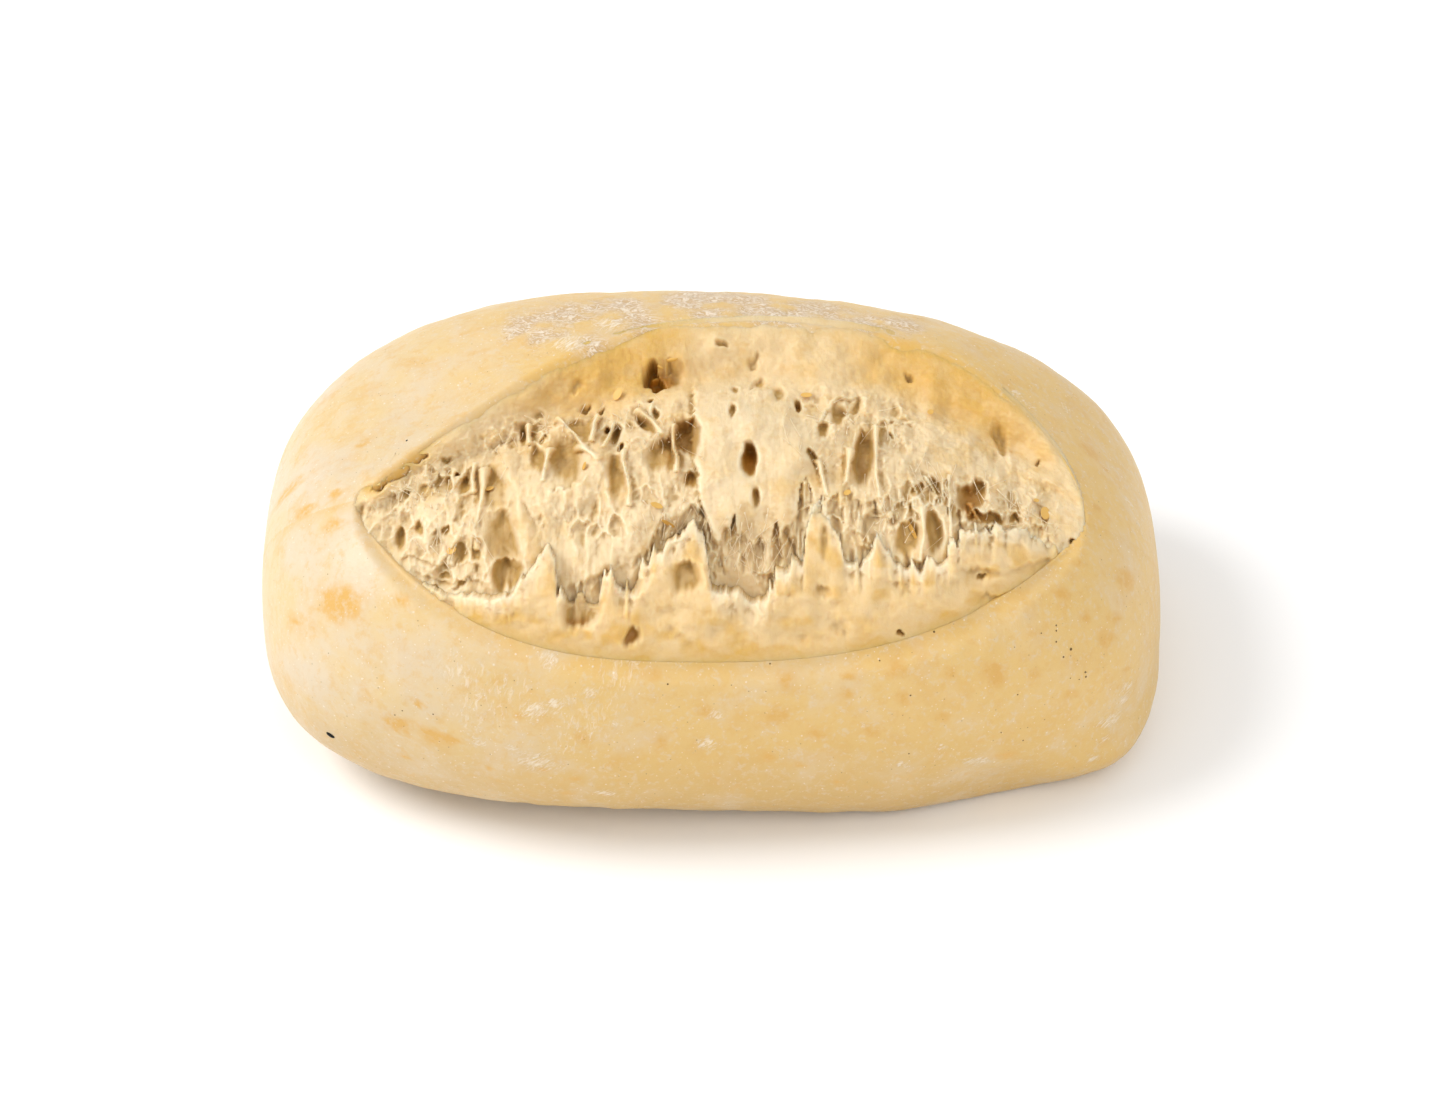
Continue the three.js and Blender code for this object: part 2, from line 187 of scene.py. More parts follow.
# Torn ledges: points x, v; how far the crumb just under the line lies deeper; how far that reaches
CRUMB_LEDGES = [
    ([(-41, -8.6), (-38, -9), (-36, -10.2), (-33, -10.4), (-30.2, -11.2)], 0.6, 1.1),
    ([(-38.5, -11), (-35.5, -12.6), (-33, -13), (-31, -13.2), (-29, -14)], 0.6, 0.9),
    ([(-45.5, 5.2), (-43.6, 2.4), (-41.6, 4.8), (-39.4, 7.2), (-36.2, 9.6)], 0.7, 1.2),
    ([(-30, 13.2), (-27.5, 11.8), (-26.6, 14.6), (-24.4, 15.8), (-22, 13.4)], 0.3, 1.4),
    ([(-21.9, 0.5), (-20.6, -0.4), (-19, 0.2), (-17.4, 1.2), (-15.8, 2.2)], -0.8, 1.6),
    ([(12.9, 10), (14.6, 15.6), (16.4, 19.2), (19.6, 20)], 0.7, 1.6),
    ([(20.8, 12), (22.4, 15), (25.4, 16.4), (28, 13)], 0.5, 1.2),
]
FLAP_LEDGES = [
    ([(30, -9.2), (35, -9.0), (38.5, -8.2), (41, -6.8), (44.4, -5.2)], 0.9, 1.3),
    ([(32.4, -12.2), (36, -12.5), (38.6, -12.1), (41, -10.4), (44.6, -7.8)], 0.9, 1.4),
    ([(16.6, -10.6), (20, -11.2), (24, -11.4), (28.4, -10.8)], 0.5, 0.8),
    ([(-13, -15.2), (-8, -15.6), (-4, -16.2), (1, -16.8)], 0.4, 0.9),
]

# Parts of the crumb that are torn white: x, v, half-width, half-height, strength
WHITE_PARTS = [
    (-37, -4, 5, 4.5, 0.8), (-27, -8, 2.5, 4, 0.6), (-14, -6, 7, 5, 0.55), (-3, -6, 3, 5, 0.8),
    (14, -5, 2.4, 4, 0.9), (38, -4, 8, 2.6, 0.9), (22, -6, 3, 3, 0.7), (4, -13.2, 8, 1.8, 0.25),
    (-20, 3, 3, 4, 0.5), (-16.4, 6.6, 1.6, 1.2, 0.9), (27, 0, 3, 3, 0.5), (-45, 1, 1.5, 3.5, 0.9),
    (-33, -13, 5, 2, 0.5), (-9, 15, 2, 3, 0.6), (1, 3, 4, 9, 0.6), (6, 13, 5, 8, 0.45),
    (29, -9.6, 14, 1.0, 0.6), (-11, -13, 3, 3, 0.5),
]

# Parts of the crumb where cells are open: x, v, half-width, half-height, strength
OPEN_PARTS = [
    (-37, 2, 7, 9, 0.9), (-32, -9, 6, 5, 0.55), (-25, 12, 6, 5, 0.35), (-13, 14, 9, 5, 0.3),
    (-5, 0, 5, 5, 0.4), (16, 12, 7, 8, 0.25), (23, 15, 4, 7, 0.35), (27, 1, 5, 4, 0.9), (41, 1, 6, 5, 0.7),
    (-15, -5, 7, 4, 0.5), (5, 21, 6, 4, 0.4), (20, -4, 5, 5, 0.3),
]

# Parts of the hollows with a dark amber painted shade: x, v, half-width, half-height, strength
AMBER_SHADE_PARTS = [
    (-8.2, 24.2, 1.3, 2.4, 1), (-7.2, 21.6, 1.7, 2.2, 0.9), (-4.6, 22.4, 2.2, 3.4, 0.35),
    (4.4, 5.2, 1.5, 5, 1), (5.3, -0.6, 1.3, 1.8, 0.7), (-3.9, 11, 1.6, 2.4, 0.5), (-3.6, 7, 1.4, 2, 0.3),
    (-2.7, 1, 1.5, 2.2, 0.4), (33.2, 2, 1.6, 4, 0.8), (34.3, -1, 3, 1.6, 0.4), (10.9, 16.7, 0.8, 2.4, 0.8),
    (-13.9, 11.1, 0.7, 1, 0.6), (-33.4, 4.9, 0.5, 0.6, 0.6), (19.4, 4, 1, 4, 0.25),
    (-43.2, 3.9, 1.3, 1.1, 0.5), (-40.6, 6.6, 1.3, 1.3, 0.4), (1, 28.8, 0.8, 1, 0.5),
    (25.8, 25.7, 0.8, 1.2, 0.35), (-24.9, 12, 0.9, 2.5, 0.3), (16.4, 14.8, 1, 3, 0.2),
]

# Stains of the crust, where the crumb shows through: x, angle in degrees, half-width
STAINS = [
    (-56, 97, 2.4), (-53, 114, 1.3), (-49, 122, 1.3), (-49, 112, 0.8), (-48, 143, 2.9), (-54, 150, 0.8),
    (-46, 94, 1.1), (-40, 142, 0.9), (-41, 178, 2.4), (-40, 195, 0.8), (-36, 180, 1.7), (-34, 180, 1.3),
    (-38, 169, 0.7), (-25, 170, 0.8), (-17, 176, 0.9), (-8, 159, 0.9), (-11, 154, 0.9), (-7, 178, 1.1),
    (-1, 168, 1.1), (-18, 194, 0.6), (-19, 202, 0.8), (-29, 192, 0.7), (-22, 190, 0.7), (9, 159, 1.2),
    (17, 158, 0.9), (17, 162, 0.8), (23, 155, 1.3), (30, 156, 0.8), (36, 155, 1.5), (36, 158, 1.3),
    (29, 168, 0.9), (24, 163, 1.2), (13, 174, 1.2), (8, 169, 1.3), (7, 183, 1.2), (11, 186, 0.7),
    (20, 173, 0.9), (51, 148, 1.2), (48, 142, 0.8), (54, 159, 0.7), (46, 163, 1.1), (41, 156, 0.9),
    (16, 194, 0.9), (38, 184, 1.3), (50, 87, 1.6), (52, 90, 0.7), (50, 110, 0.7), (47, 128, 0.7),
    (54, 130, 1.6), (45, 136, 0.9), (52, 142, 0.8), (39, 76, 0.7), (52, 66, 0.5),
]

# Patches of flour: x, angle in degrees, half-width
FLOURED = [
    (-21, 156, 1.3), (-23, 168, 2.3), (-20, 167, 1.1), (-16, 163, 1.1), (-30, 180, 1.3), (-26, 181, 1.1),
    (-23, 186, 2.9), (0, 169, 1.1), (-1, 178, 1.3), (-14, 201, 1.6), (-30, 165, 1.1), (54, 166, 1.4),
    (52, 178, 2.1), (50, 194, 1.4), (29, 178, 1.1), (19, 171, 0.8), (34, 186, 1.9), (24, 185, 1.1),
    (40, 78, 1.1), (42, 80, 1.1), (47, 71, 0.9), (52, 89, 0.7), (55, 98, 1.1), (-19, 76, 2.6),
    (-10, 80, 2.2), (-3, 74, 2), (-14, 70, 2.4), (54, 172, 1.2), (51, 186, 1.2),
]

# Streaks of flour that run up and down the front: x, angle in degrees, half-width
STREAKED = [(-33, 158, 4), (-26, 163, 5), (-31, 172, 4), (-14, 166, 5), (-18, 176, 5), (-12, 158, 3)]

# The frosted, wrinkled strip on top: x, angle in degrees, half-width
FROSTED = [
    (-26, 66, 3), (-20, 63, 4), (-12, 60, 4), (-4, 55, 4), (-1, 66, 3), (-23, 72, 2.5), (-10, 70, 3),
    (4, 56, 4), (8, 66, 3.5), (14, 60, 4), (20, 66, 2.5), (25, 63, 3), (-16, 78, 2), (10, 74, 1.5),
]

# Pin-pricks of the crust, all of one height: x, angle in degrees, half-width
PRICK_HEIGHT = 0.04
PRICKS = [
    (44, 144, 0.13), (44, 145.3, 0.13), (42, 146, 0.10), (44, 148, 0.13), (46, 150, 0.2), (45, 152, 0.14),
    (48, 156.6, 0.15), (48.1, 158, 0.15), (47.2, 158.6, 0.09), (46, 158, 0.08), (39, 162, 0.11),
    (25, 162, 0.12), (40, 178, 0.12), (37, 174, 0.1), (28, 147, 0.16), (7, 156, 0.12), (4, 148, 0.13),
    (21, 154, 0.1), (25, 180, 0.1), (-6, 161, 0.12), (-36, 172, 0.11), (-40, 172, 0.1), (-41, 174, 0.1),
]

# Black specks: x, angle in degrees, half-length, half-width, half-height, tilt in degrees
SPECKS = [(-50, 199, 0.66, 0.42, 0.2, -20), (-40, 99, 0.2, 0.13, 0.06, 60)]

# Husks of bran in the crumb: x, v, half-length, half-width, half-height, tilt in degrees
HUSKS = [
    (-29, 1, 0.8, 0.6, 0.09, 80), (-33.6, -8.3, 0.7, 0.5, 0.1, 30), (-7.5, -2.5, 0.9, 0.45, 0.08, -20),
    (-6, -5, 1.4, 0.35, 0.08, -50), (-16.7, 4, 0.6, 0.45, 0.08, 60), (21, -7.2, 0.6, 0.5, 0.08, 100),
    (25.5, -4.4, 1.7, 0.38, 0.08, -60), (43, 2, 1.1, 0.7, 0.1, 70), (17, 0.5, 0.6, 0.4, 0.08, 40),
    (-12.7, 19, 0.9, 0.6, 0.08, 60), (12, 19.5, 0.8, 0.5, 0.1, 10), (28.4, 19, 0.6, 0.4, 0.1, 50),
    (-5.6, 25.4, 0.8, 0.35, 0.1, -15), (-7.2, 24.4, 0.5, 0.25, 0.08, 40), (41.9, 4.1, 0.5, 0.3, 0.08, 20),
]
HUSK_BOWL = 0.15

# Parts of the crumb that are crossed by fine fibres: x, v, half-width, half-height, number
FIBRED = [
    (-38, 2, 6, 6, 35), (-34, -8, 6, 4, 25), (-24, 10, 6, 5, 14), (-13, 11, 7, 5, 22), (-5, 8, 4, 6, 12),
    (12, 8, 3, 6, 12), (16, 13, 4, 5, 12), (28, 2, 4, 3, 25), (38, 1, 7, 4, 25), (5, -9, 6, 5, 50),
    (-5, -6, 5, 4, 30), (22, -4, 6, 4, 25), (20, 12, 5, 6, 8),
]
THREAD_STEPS = 7
THREAD_SIDES = 5
THREAD_RADIUS = (0.03, 0.07)
BEAD_RINGS = 5
BEAD_SIDES = 10

# Husks and fibres stand on the crumb's mean level within this reach, and this far over it
LEVEL_REACH = 0.5
LEVEL_RISE = 0.3

# The crust's grid: rows along the roll; columns over the top lip, the trough, the bottom lip and the rest
CRUST_ROWS = 310
CRUST_COLUMNS = (38, 10, 26, 236)
PAST_TOP_LIP = 3.5
PAST_BOTTOM_LIP = 4.0

# Depths fade out nearer to the axis than this
NEAR_AXIS = 12

# The crust's own wall under the top lip stands this far over the crumb, and is cut short over the round
# hole; between the lips the crust goes down to a trough this far under the crumb
WALL_GAP = 0.04
ROUND_HOLE = -6.5
TROUGH = 8.5

# The crease between the flap and the bottom lip: its height over the lip, its width, its depth, and the
# depth of the flap beyond it
CREASE_AT = 0.4
CREASE_WIDTH = 2.2
CREASE_DEPTH = 1.2
FLAP_LEVEL = 0.4

# Spacing of the crumb's grids, which keeps each piece under 200,000 triangles. A torn wall leans up the
# slash as it goes in, by an angle that grows up the slash from none at its foot, about the depth LEAN_FROM
PITCH = 0.2
LEAN_AT_MIDDLE = 0.42
LEAN_MOST = 0.68
LEAN_FROM = 3.0
BED_ROUNDS = 12

# How far the crumb reaches: under both lips, behind the flap's edge and down to a floor inside the roll
UNDER_TOP_LIP = 1.5
UNDER_BOTTOM_LIP = 0.5
BEHIND_FLAP = 3.5
CRUMB_FLOOR = 15

# How far the flap reaches: past its torn edge, under the crust, where it lies that much deeper, along the
# roll and down to a floor
PAST_EDGE = 0.8
UNDER_CRUST = 0.6
UNDER_CRUST_LEVEL = 0.7
FLAP_SPAN = (-43, 47)
FLAP_FLOOR = 12

# A point is raised or sunken against the mean of its surroundings within this distance
SURROUNDINGS = 0.9

CAMERA_ELEVATION = math.radians(38)
CAMERA_DISTANCE = 0.7
CAMERA_LENS = 131.7
PICTURE_MIDDLE = (0.13, -0.22, 21.72)
SENSOR_WIDTH = 36

# Stage in metres, and its light
FLOOR = 4
SKY = 0.77
LIT_POINT = Vector((0, 0, 0.02))
LEFT_WINDOW = dict(place_at=(-0.95, -0.05, 1.0), size=0.8, power=13.5)
FRONT_FILL = dict(place_at=(0.6, -0.9, 0.85), size=1.0, power=5)

# Named values of a mesh that are vectors: coordinates over the crust and over the crumb
VECTORS = ("skin", "across")

# Colours, linear: the crust's, the crumb's, and those of the smallest parts
PALE = (0.625, 0.51, 0.355, 1)
CREAM = (0.64, 0.48, 0.25, 1)
BAKED = (0.66, 0.44, 0.152, 1)
STAIN = (0.62, 0.365, 0.10, 1)
# This colour is a painted shade low down towards the base, partly the browner underside of the roll
HEEL_AND_SHADE = (0.53, 0.35, 0.13, 1)
FROST = (0.51, 0.345, 0.195, 1)
FLOUR = (0.86, 0.79, 0.68, 1)
WEB = (0.77, 0.635, 0.42, 1)
CREAM_CRUMB = (0.72, 0.555, 0.325, 1)
# This colour is also laid as a painted shade under the top lip and in the crease along the bottom lip
GOLD = (0.625, 0.38, 0.094, 1)
# This colour is a painted shade: tan in hollows, in sunken places and under the hem
HOLLOW_SHADE = (0.48, 0.295, 0.09, 1)
# This colour is a painted shade in deep hollows
AMBER_SHADE = (0.34, 0.135, 0.008, 1)
SPECK = (0.004, 0.003, 0.002, 1)
PRICK = (0.13, 0.075, 0.02, 1)
HUSK = (0.68, 0.40, 0.09, 1)

# How far red, green and blue travel in dough, as shares of the glow's length
GLOW_REACH = (1.0, 0.78, 0.55)


def smooth(start, stop, x):
    """0 at start, 1 at stop, with level ends."""
    t = np.clip((x - start) / (stop - start), 0, 1)
    return t * t * (3 - 2 * t)


def within(x, start, full, level, stop):
    """1 from full to level, falling to 0 at start and at stop."""
    return smooth(start, full, x) * smooth(stop, level, x)


def mix(a, b, share):
    """a turning into b: a + (b - a) * share."""
    return a + (b - a) * share


def noise(seed, *axes):
    """Value noise from -1 to 1: seeded random values at whole numbers, joined by smooth interpolation."""
    side = 64
    table = np.random.default_rng(seed).uniform(-1, 1, (side,) * len(axes)).astype(np.float32)
    low = [np.floor(a).astype(np.int32) for a in axes]
    part = [smooth(0, 1, (a - l).astype(np.float32)) for a, l in zip(axes, low)]
    value = 0
    for corner in itertools.product((0, 1), repeat=len(axes)):
        weight = 1
        for share, c in zip(part, corner):
            weight = weight * (share if c else 1 - share)
        value = value + weight * table[tuple((l + c) % side for l, c in zip(low, corner))]
    return value


def layered(seed, layers, *axes):
    """Noise over itself at half the size and half the height, layer by layer."""
    return sum(noise(seed + i, *(a * 2**i + 7.3 * i for a in axes)) / 2**i for i in range(layers))


def loaf(x, angle):
    """The loaf's axis (y, z) at x, and the way out (y, z) to its surface in the direction of angle: a
    superellipse section, tapered to the ends by another superellipse."""
    s = np.clip(x / HALF_LENGTH, -1, 1)
    fullness = np.where(s < 0, LEFT_END, RIGHT_END)
    taper = (1 - np.abs(s) ** fullness) ** (1 / fullness)
    c, h = np.cos(angle), np.sin(angle)
    rounded = taper * (np.abs(c) ** SECTION + np.abs(h) ** SECTION) ** (-1 / SECTION)
    axis = RIGHT_END_BACK * s + ENDS_BACK * s * s, WIDEST_LEVEL - RIGHT_END_DROP * s - ENDS_DROP * s * s
    out = HALF_WIDTH * rounded * c, np.where(h > 0, DOME_HEIGHT, SEAT_DEPTH) * rounded * h
    return axis, out


def turned_to(angle, degrees):
    """Distance round the roll from a direction in degrees."""
    turn = angle - math.radians(degrees)
    return np.arctan2(np.sin(turn), np.cos(turn)) * SLASH_RADIUS


def lumps(x, angle):
    """Depth of the soft hollows: a bell curve at each dimple."""
    depth = 0
    for cx, degrees, half_width, height in DIMPLES:
        away = (x - cx) ** 2 + turned_to(angle, degrees) ** 2
        depth = depth + height * np.exp(-away / half_width**2)
    return depth


def place(x, angle, depth):
    """Points at a depth under the loaf's surface, measured towards its axis, and seated on the base: below
    the base's level everything is flat, with a rounded edge."""
    (axis_y, axis_z), (out_y, out_z) = loaf(x, angle)
    reach = np.maximum(np.hypot(out_y, out_z), 1e-6)
    inward = 1 - (depth + lumps(x, angle)) * np.clip(reach / NEAR_AXIS, 0, 1) / reach
    y, z = axis_y + out_y * inward, axis_z + out_z * inward
    z = np.where(z < BASE_EDGE, np.maximum(z + BASE_EDGE, 0) ** 2 / (4 * BASE_EDGE), z)
    return np.stack(np.broadcast_arrays(x, y, z), axis=-1)


def lip(x, rise, peak, left, right):
    """Height of a lip, v: an arch from each tip of the slash to its peak."""
    to_peak = np.where(x < peak, (peak - x) / (peak - SLASH_LEFT), (x - peak) / (SLASH_RIGHT - peak))
    p = np.where(x < peak, left[0], right[0])
    q = np.where(x < peak, left[1], right[1])
    return TIP_V + (rise - TIP_V) * np.maximum(0, 1 - np.clip(to_peak, 0, 1) ** p) ** q


def top_lip(x):
    """Height of the top lip, with the blunt torn notch at the slash's left tip."""
    notch = NOTCH_HEIGHT * smooth(SLASH_LEFT - 0.3, SLASH_LEFT + 1.2, x) * smooth(*NOTCH_END, x)
    return np.maximum(lip(x, **TOP_LIP), notch)


def bottom_lip(x):
    """Height of the bottom lip: a hanging arch."""
    return lip(x, **BOTTOM_LIP)


def from_lips(x, v):
    """How far a point lies under the top lip, over the bottom lip, and in from the nearer of the two."""
    below_top = top_lip(x) - v
    above_bottom = v - bottom_lip(x)
    return below_top, above_bottom, np.minimum(below_top, above_bottom)


def new_piece(name, points, faces, material, values):
    """A piece of the roll from points in millimetres and lists of faces, shaded smooth, with named values
    for each point: one number or a vector."""
    mesh = bpy.data.meshes.new(name)
    mesh.from_pydata((points * MM).tolist(), [], faces)
    for key, array in values.items():
        if array.ndim == 1:
            mesh.attributes.new(key, "FLOAT", "POINT").data.foreach_set("value", array.astype(np.float32))
        else:
            store = mesh.attributes.new(key, "FLOAT_VECTOR", "POINT")
            store.data.foreach_set("vector", array.astype(np.float32).ravel())
    mesh.polygons.foreach_set("use_smooth", np.ones(len(mesh.polygons), dtype=bool))
    mesh.materials.append(material)
    piece = bpy.data.objects.new(name, mesh)
    bpy.context.scene.collection.objects.link(piece)
    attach(piece, "root")
    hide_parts("bread_roll")
    return piece


def with_more(values, count):
    """Named values of a grid as one row for each point, with zeros for count more points."""
    rows = {}
    for key, value in values.items():
        row = value.reshape(-1, 3) if key in VECTORS else value.ravel()
        rows[key] = np.concatenate([row, np.zeros((count, *row.shape[1:]))])
    return rows


# Materials


def shader(name):
    """A new material, with its node tree and its shader."""
    material = bpy.data.materials.new(name)
    material.use_nodes = True
    return material, material.node_tree, material.node_tree.nodes["Principled BSDF"]


def feed(tree, socket, value):
    """Links a socket to another one, or gives it a plain value."""
    if isinstance(value, bpy.types.NodeSocket):
        tree.links.new(value, socket)
    else:
        socket.default_value = value


def add(tree, kind, values=None, **inputs):
    """A node of that kind, with settings, plain input values and links by input name or number."""
    node = tree.nodes.new(kind)
    for key, value in (values or {}).items():
        setattr(node, key, value)
    for key, value in inputs.items():
        feed(tree, node.inputs[int(key[1:])] if key[0] == "_" else node.inputs[key.replace("_", " ")], value)
    return node


def grain(tree, where, scale, detail=3, roughness=0.55, distortion=0.0):
    """Noise of the given scale, as a socket."""
    node = add(tree, "ShaderNodeTexNoise", Vector=where, Scale=scale, Detail=detail, Roughness=roughness,
               Distortion=distortion)
    return node.outputs["Fac"]


def in_millimetres(tree):
    """The object's own coordinates in millimetres."""
    where = add(tree, "ShaderNodeTexCoord").outputs["Object"]
    node = add(tree, "ShaderNodeMapping", None, Vector=where, Scale=(1 / MM, 1 / MM, 1 / MM))
    return node.outputs["Vector"]


def stretched(tree, where, turn, width, length):
    """Coordinates turned by an angle in degrees and measured in the given width and length."""
    return add(tree, "ShaderNodeMapping", dict(vector_type="TEXTURE"), Vector=where,
               Rotation=(0, 0, math.radians(turn)), Scale=(length, width, 1)).outputs["Vector"]


def dots(tree, where, spacing, radius):
    """Scattered small dots of uneven strength, as a socket that is up to 1 on a dot."""
    node = add(tree, "ShaderNodeTexVoronoi", None, Vector=where, Scale=1 / spacing)
    edge = radius / spacing
    chance = add(tree, "ShaderNodeSeparateColor", None, Color=node.outputs["Color"]).outputs["Red"]
    near = ramp(tree, node.outputs["Distance"], edge * 1.4, edge * 0.5)
    return times(tree, near, ramp(tree, chance, 0.25, 1))


def ramp(tree, value, start, stop):
    """Value brought to 0 at start and 1 at stop, with level ends."""
    curve = dict(interpolation_type="SMOOTHSTEP")
    node = add(tree, "ShaderNodeMapRange", curve, Value=value, From_Min=start, From_Max=stop)
    return node.outputs["Result"]


def scaled(tree, value, low, high):
    """A share from 0 to 1 brought to a range."""
    return add(tree, "ShaderNodeMapRange", None, Value=value, To_Min=low, To_Max=high).outputs["Result"]


def times(tree, a, b):
    """a * b."""
    return add(tree, "ShaderNodeMath", dict(operation="MULTIPLY"), _0=a, _1=b).outputs[0]


def plus(tree, a, b):
    """a + b, held between 0 and 1."""
    return add(tree, "ShaderNodeMath", dict(operation="ADD", use_clamp=True), _0=a, _1=b).outputs[0]


def blend(tree, share, a, b):
    """Colour a turning into colour b."""
    node = add(tree, "ShaderNodeMix", dict(data_type="RGBA"), Factor=share, _6=a, _7=b)
    return node.outputs[2]


def stored(tree, name, output="Fac"):
    """A value stored at the points of the mesh."""
    return add(tree, "ShaderNodeAttribute", dict(attribute_name=name)).outputs[output]


def clouded(tree, colour, tint, where, scale, start, stop, share, **texture):
    """A colour with clouds of a tint: noise of the given scale, from clear at start to its share at stop."""
    clouds = ramp(tree, grain(tree, where, scale, **texture), start, stop)
    return blend(tree, times(tree, clouds, share), colour, tint)


def flecked(tree, name, share, texture, start, stop):
    """Flecks of flour: a stored amount added to a texture, clear at start and full at stop."""
    amount = plus(tree, times(tree, stored(tree, name), share), times(tree, texture, 0.8))
    return ramp(tree, amount, start, stop)


def finish_dough(tree, surface, colour, relief, depth_mm, roughness, glow, glow_mm):
    """Links a colour and a relief, and gives the shader the soft, slightly moist look of dough."""
    bump = add(tree, "ShaderNodeBump", None, Strength=0.5, Distance=depth_mm * MM, Height=relief)
    tree.links.new(colour, surface.inputs["Base Color"])
    tree.links.new(bump.outputs["Normal"], surface.inputs["Normal"])
    feed(tree, surface.inputs["Roughness"], roughness)
    surface.inputs["Subsurface Weight"].default_value = glow
    surface.inputs["Subsurface Radius"].default_value = GLOW_REACH
    surface.inputs["Subsurface Scale"].default_value = glow_mm * MM
    surface.inputs["Specular IOR Level"].default_value = 0.4


def crust_material():
    """Pale skin: cream, more baked to the right, softly mottled; stains where the crumb shows through; a
    painted shade low down, partly a browner underside; golden under the top lip and in the crease along the
    bottom lip, partly a painted shade; flour in fine slanting flecks, upright streaks and single grains,
    with white dots that are partly flour grains and partly painted glints; a frosted, wrinkled strip on top."""
    material, tree, surface = shader("pale_crust")
    here = in_millimetres(tree)
    skin = stored(tree, "skin", "Vector")
    colour = blend(tree, ramp(tree, grain(tree, here, 0.075, 3, 0.6), 0.38, 0.62), PALE, CREAM)
    colour = blend(tree, stored(tree, "baked"), colour, BAKED)
    # Golden where the crust turns in under the top lip, partly a painted shade under the lip; a painted
    # shade in the crease along the bottom lip
    colour = blend(tree, stored(tree, "wall"), colour, GOLD)
    colour = clouded(tree, colour, STAIN, here, 0.25, 0.50, 0.68, 0.4, detail=4, roughness=0.6)
    # Painted shade low down towards the base, partly a browner underside
    colour = blend(tree, stored(tree, "heel_and_shade"), colour, HEEL_AND_SHADE)
    colour = clouded(tree, colour, PALE, here, 0.13, 0.45, 0.75, 0.45, roughness=0.5, distortion=0.5)
    colour = clouded(tree, colour, STAIN, here, 0.7, 0.48, 0.72, 0.45, detail=5, roughness=0.7)
    colour = clouded(tree, colour, PALE, here, 1.1, 0.50, 0.70, 0.5, detail=4, roughness=0.65,
                     distortion=0.4)
    uneven = scaled(tree, ramp(tree, grain(tree, here, 0.9, 5, 0.65), 0.35, 0.62), 0.45, 1.35)
    colour = blend(tree, times(tree, stored(tree, "stain"), uneven), colour, STAIN)
    wrinkles = ramp(tree, grain(tree, stretched(tree, skin, 12, 0.75, 1.4), 1.0, 4, 0.6, 2.4), 0.44, 0.60)
    frost = stored(tree, "frost")
    colour = blend(tree, times(tree, frost, 0.75), colour, FROST)
    slanting = grain(tree, stretched(tree, skin, -50, 0.42, 1.3), 1.0, 4, 0.7, 0.8)
    upright = grain(tree, stretched(tree, skin, -82, 0.8, 2.4), 1.0, 4, 0.7, 1.2)
    flecks = flecked(tree, "flour", 0.24, slanting, 0.52, 0.76)
    streaks = flecked(tree, "streaks", 0.20, upright, 0.58, 0.76)
    frosting = times(tree, times(tree, frost, wrinkles), 1.1)
    powder = plus(tree, plus(tree, flecks, times(tree, streaks, 0.6)), frosting)
    # White dots: partly flour grains, partly painted glints of light on the skin
    grains_and_glints = times(tree, plus(tree, dots(tree, here, 0.68, 0.09), dots(tree, here, 1.4, 0.15)), 0.5)
    colour = blend(tree, plus(tree, times(tree, powder, 0.62), grains_and_glints), colour, FLOUR)
    colour = blend(tree, times(tree, dots(tree, here, 1.1, 0.09), 0.7), colour, PRICK)
    ripples = times(tree, grain(tree, here, 0.55, 5, 0.6), 0.6)
    relief = plus(tree, ripples, times(tree, plus(tree, powder, grains_and_glints), 0.3))
    finish_dough(tree, surface, colour, relief, 0.5, scaled(tree, powder, 0.42, 0.85), 0.25, 1.2)
    return material


def crumb_material():
    """Torn crumb: cream mottled with gold, whitish where it is torn and with a painted highlight on raised
    crests, a tan painted shade in hollows and sunken places, a dark amber painted shade in deep ones, and
    golden where the cut skin shows, partly a painted shade under the top lip and in the crease along the
    bottom lip."""
    material, tree, surface = shader("torn_crumb")
    across = stored(tree, "across", "Vector")
    fibres = grain(tree, stretched(tree, across, 90, 0.5, 2.6), 1.0, 4, 0.6)
    colour = clouded(tree, CREAM_CRUMB, GOLD, across, 0.2, 0.48, 0.70, 0.45, roughness=0.6)
    # Whitish where torn, and a painted highlight on raised crests
    colour = blend(tree, stored(tree, "white"), colour, WEB)
    # Golden under the top lip, partly a painted shade under it, and a painted shade in the crease along the
    # bottom lip
    gold_and_shade = times(tree, stored(tree, "gold_and_shade"), scaled(tree, grain(tree, across, 0.33, 4, 0.65), 0.2, 1.5))
    colour = blend(tree, gold_and_shade, colour, GOLD)
    # Painted shade: tan in hollows, in sunken places and under the hem
    colour = blend(tree, stored(tree, "tan"), colour, HOLLOW_SHADE)
    colour = clouded(tree, colour, STAIN, across, 0.5, 0.50, 0.72, 0.32, detail=4, roughness=0.6)
    # Painted shade: dark amber in deep hollows
    colour = blend(tree, stored(tree, "amber_shade"), colour, AMBER_SHADE)
    relief = plus(tree, times(tree, grain(tree, across, 1.4, 5, 0.65), 0.5), times(tree, fibres, 0.5))
    finish_dough(tree, surface, colour, relief, 0.4, 0.5, 0.6, 2.0)
    return material


def plain_material(name, colour, roughness):
    """One colour all over."""
    material, _, surface = shader(name)
    surface.inputs["Base Color"].default_value = colour
    surface.inputs["Roughness"].default_value = roughness
    return material


# Crust


def wall_band(x):
    """Width of the smooth wall under the top lip: narrow at the left end, wide in the middle and right."""
    return BAND_WIDTH + BAND_WIDENS * within(x, *WIDE_BAND)


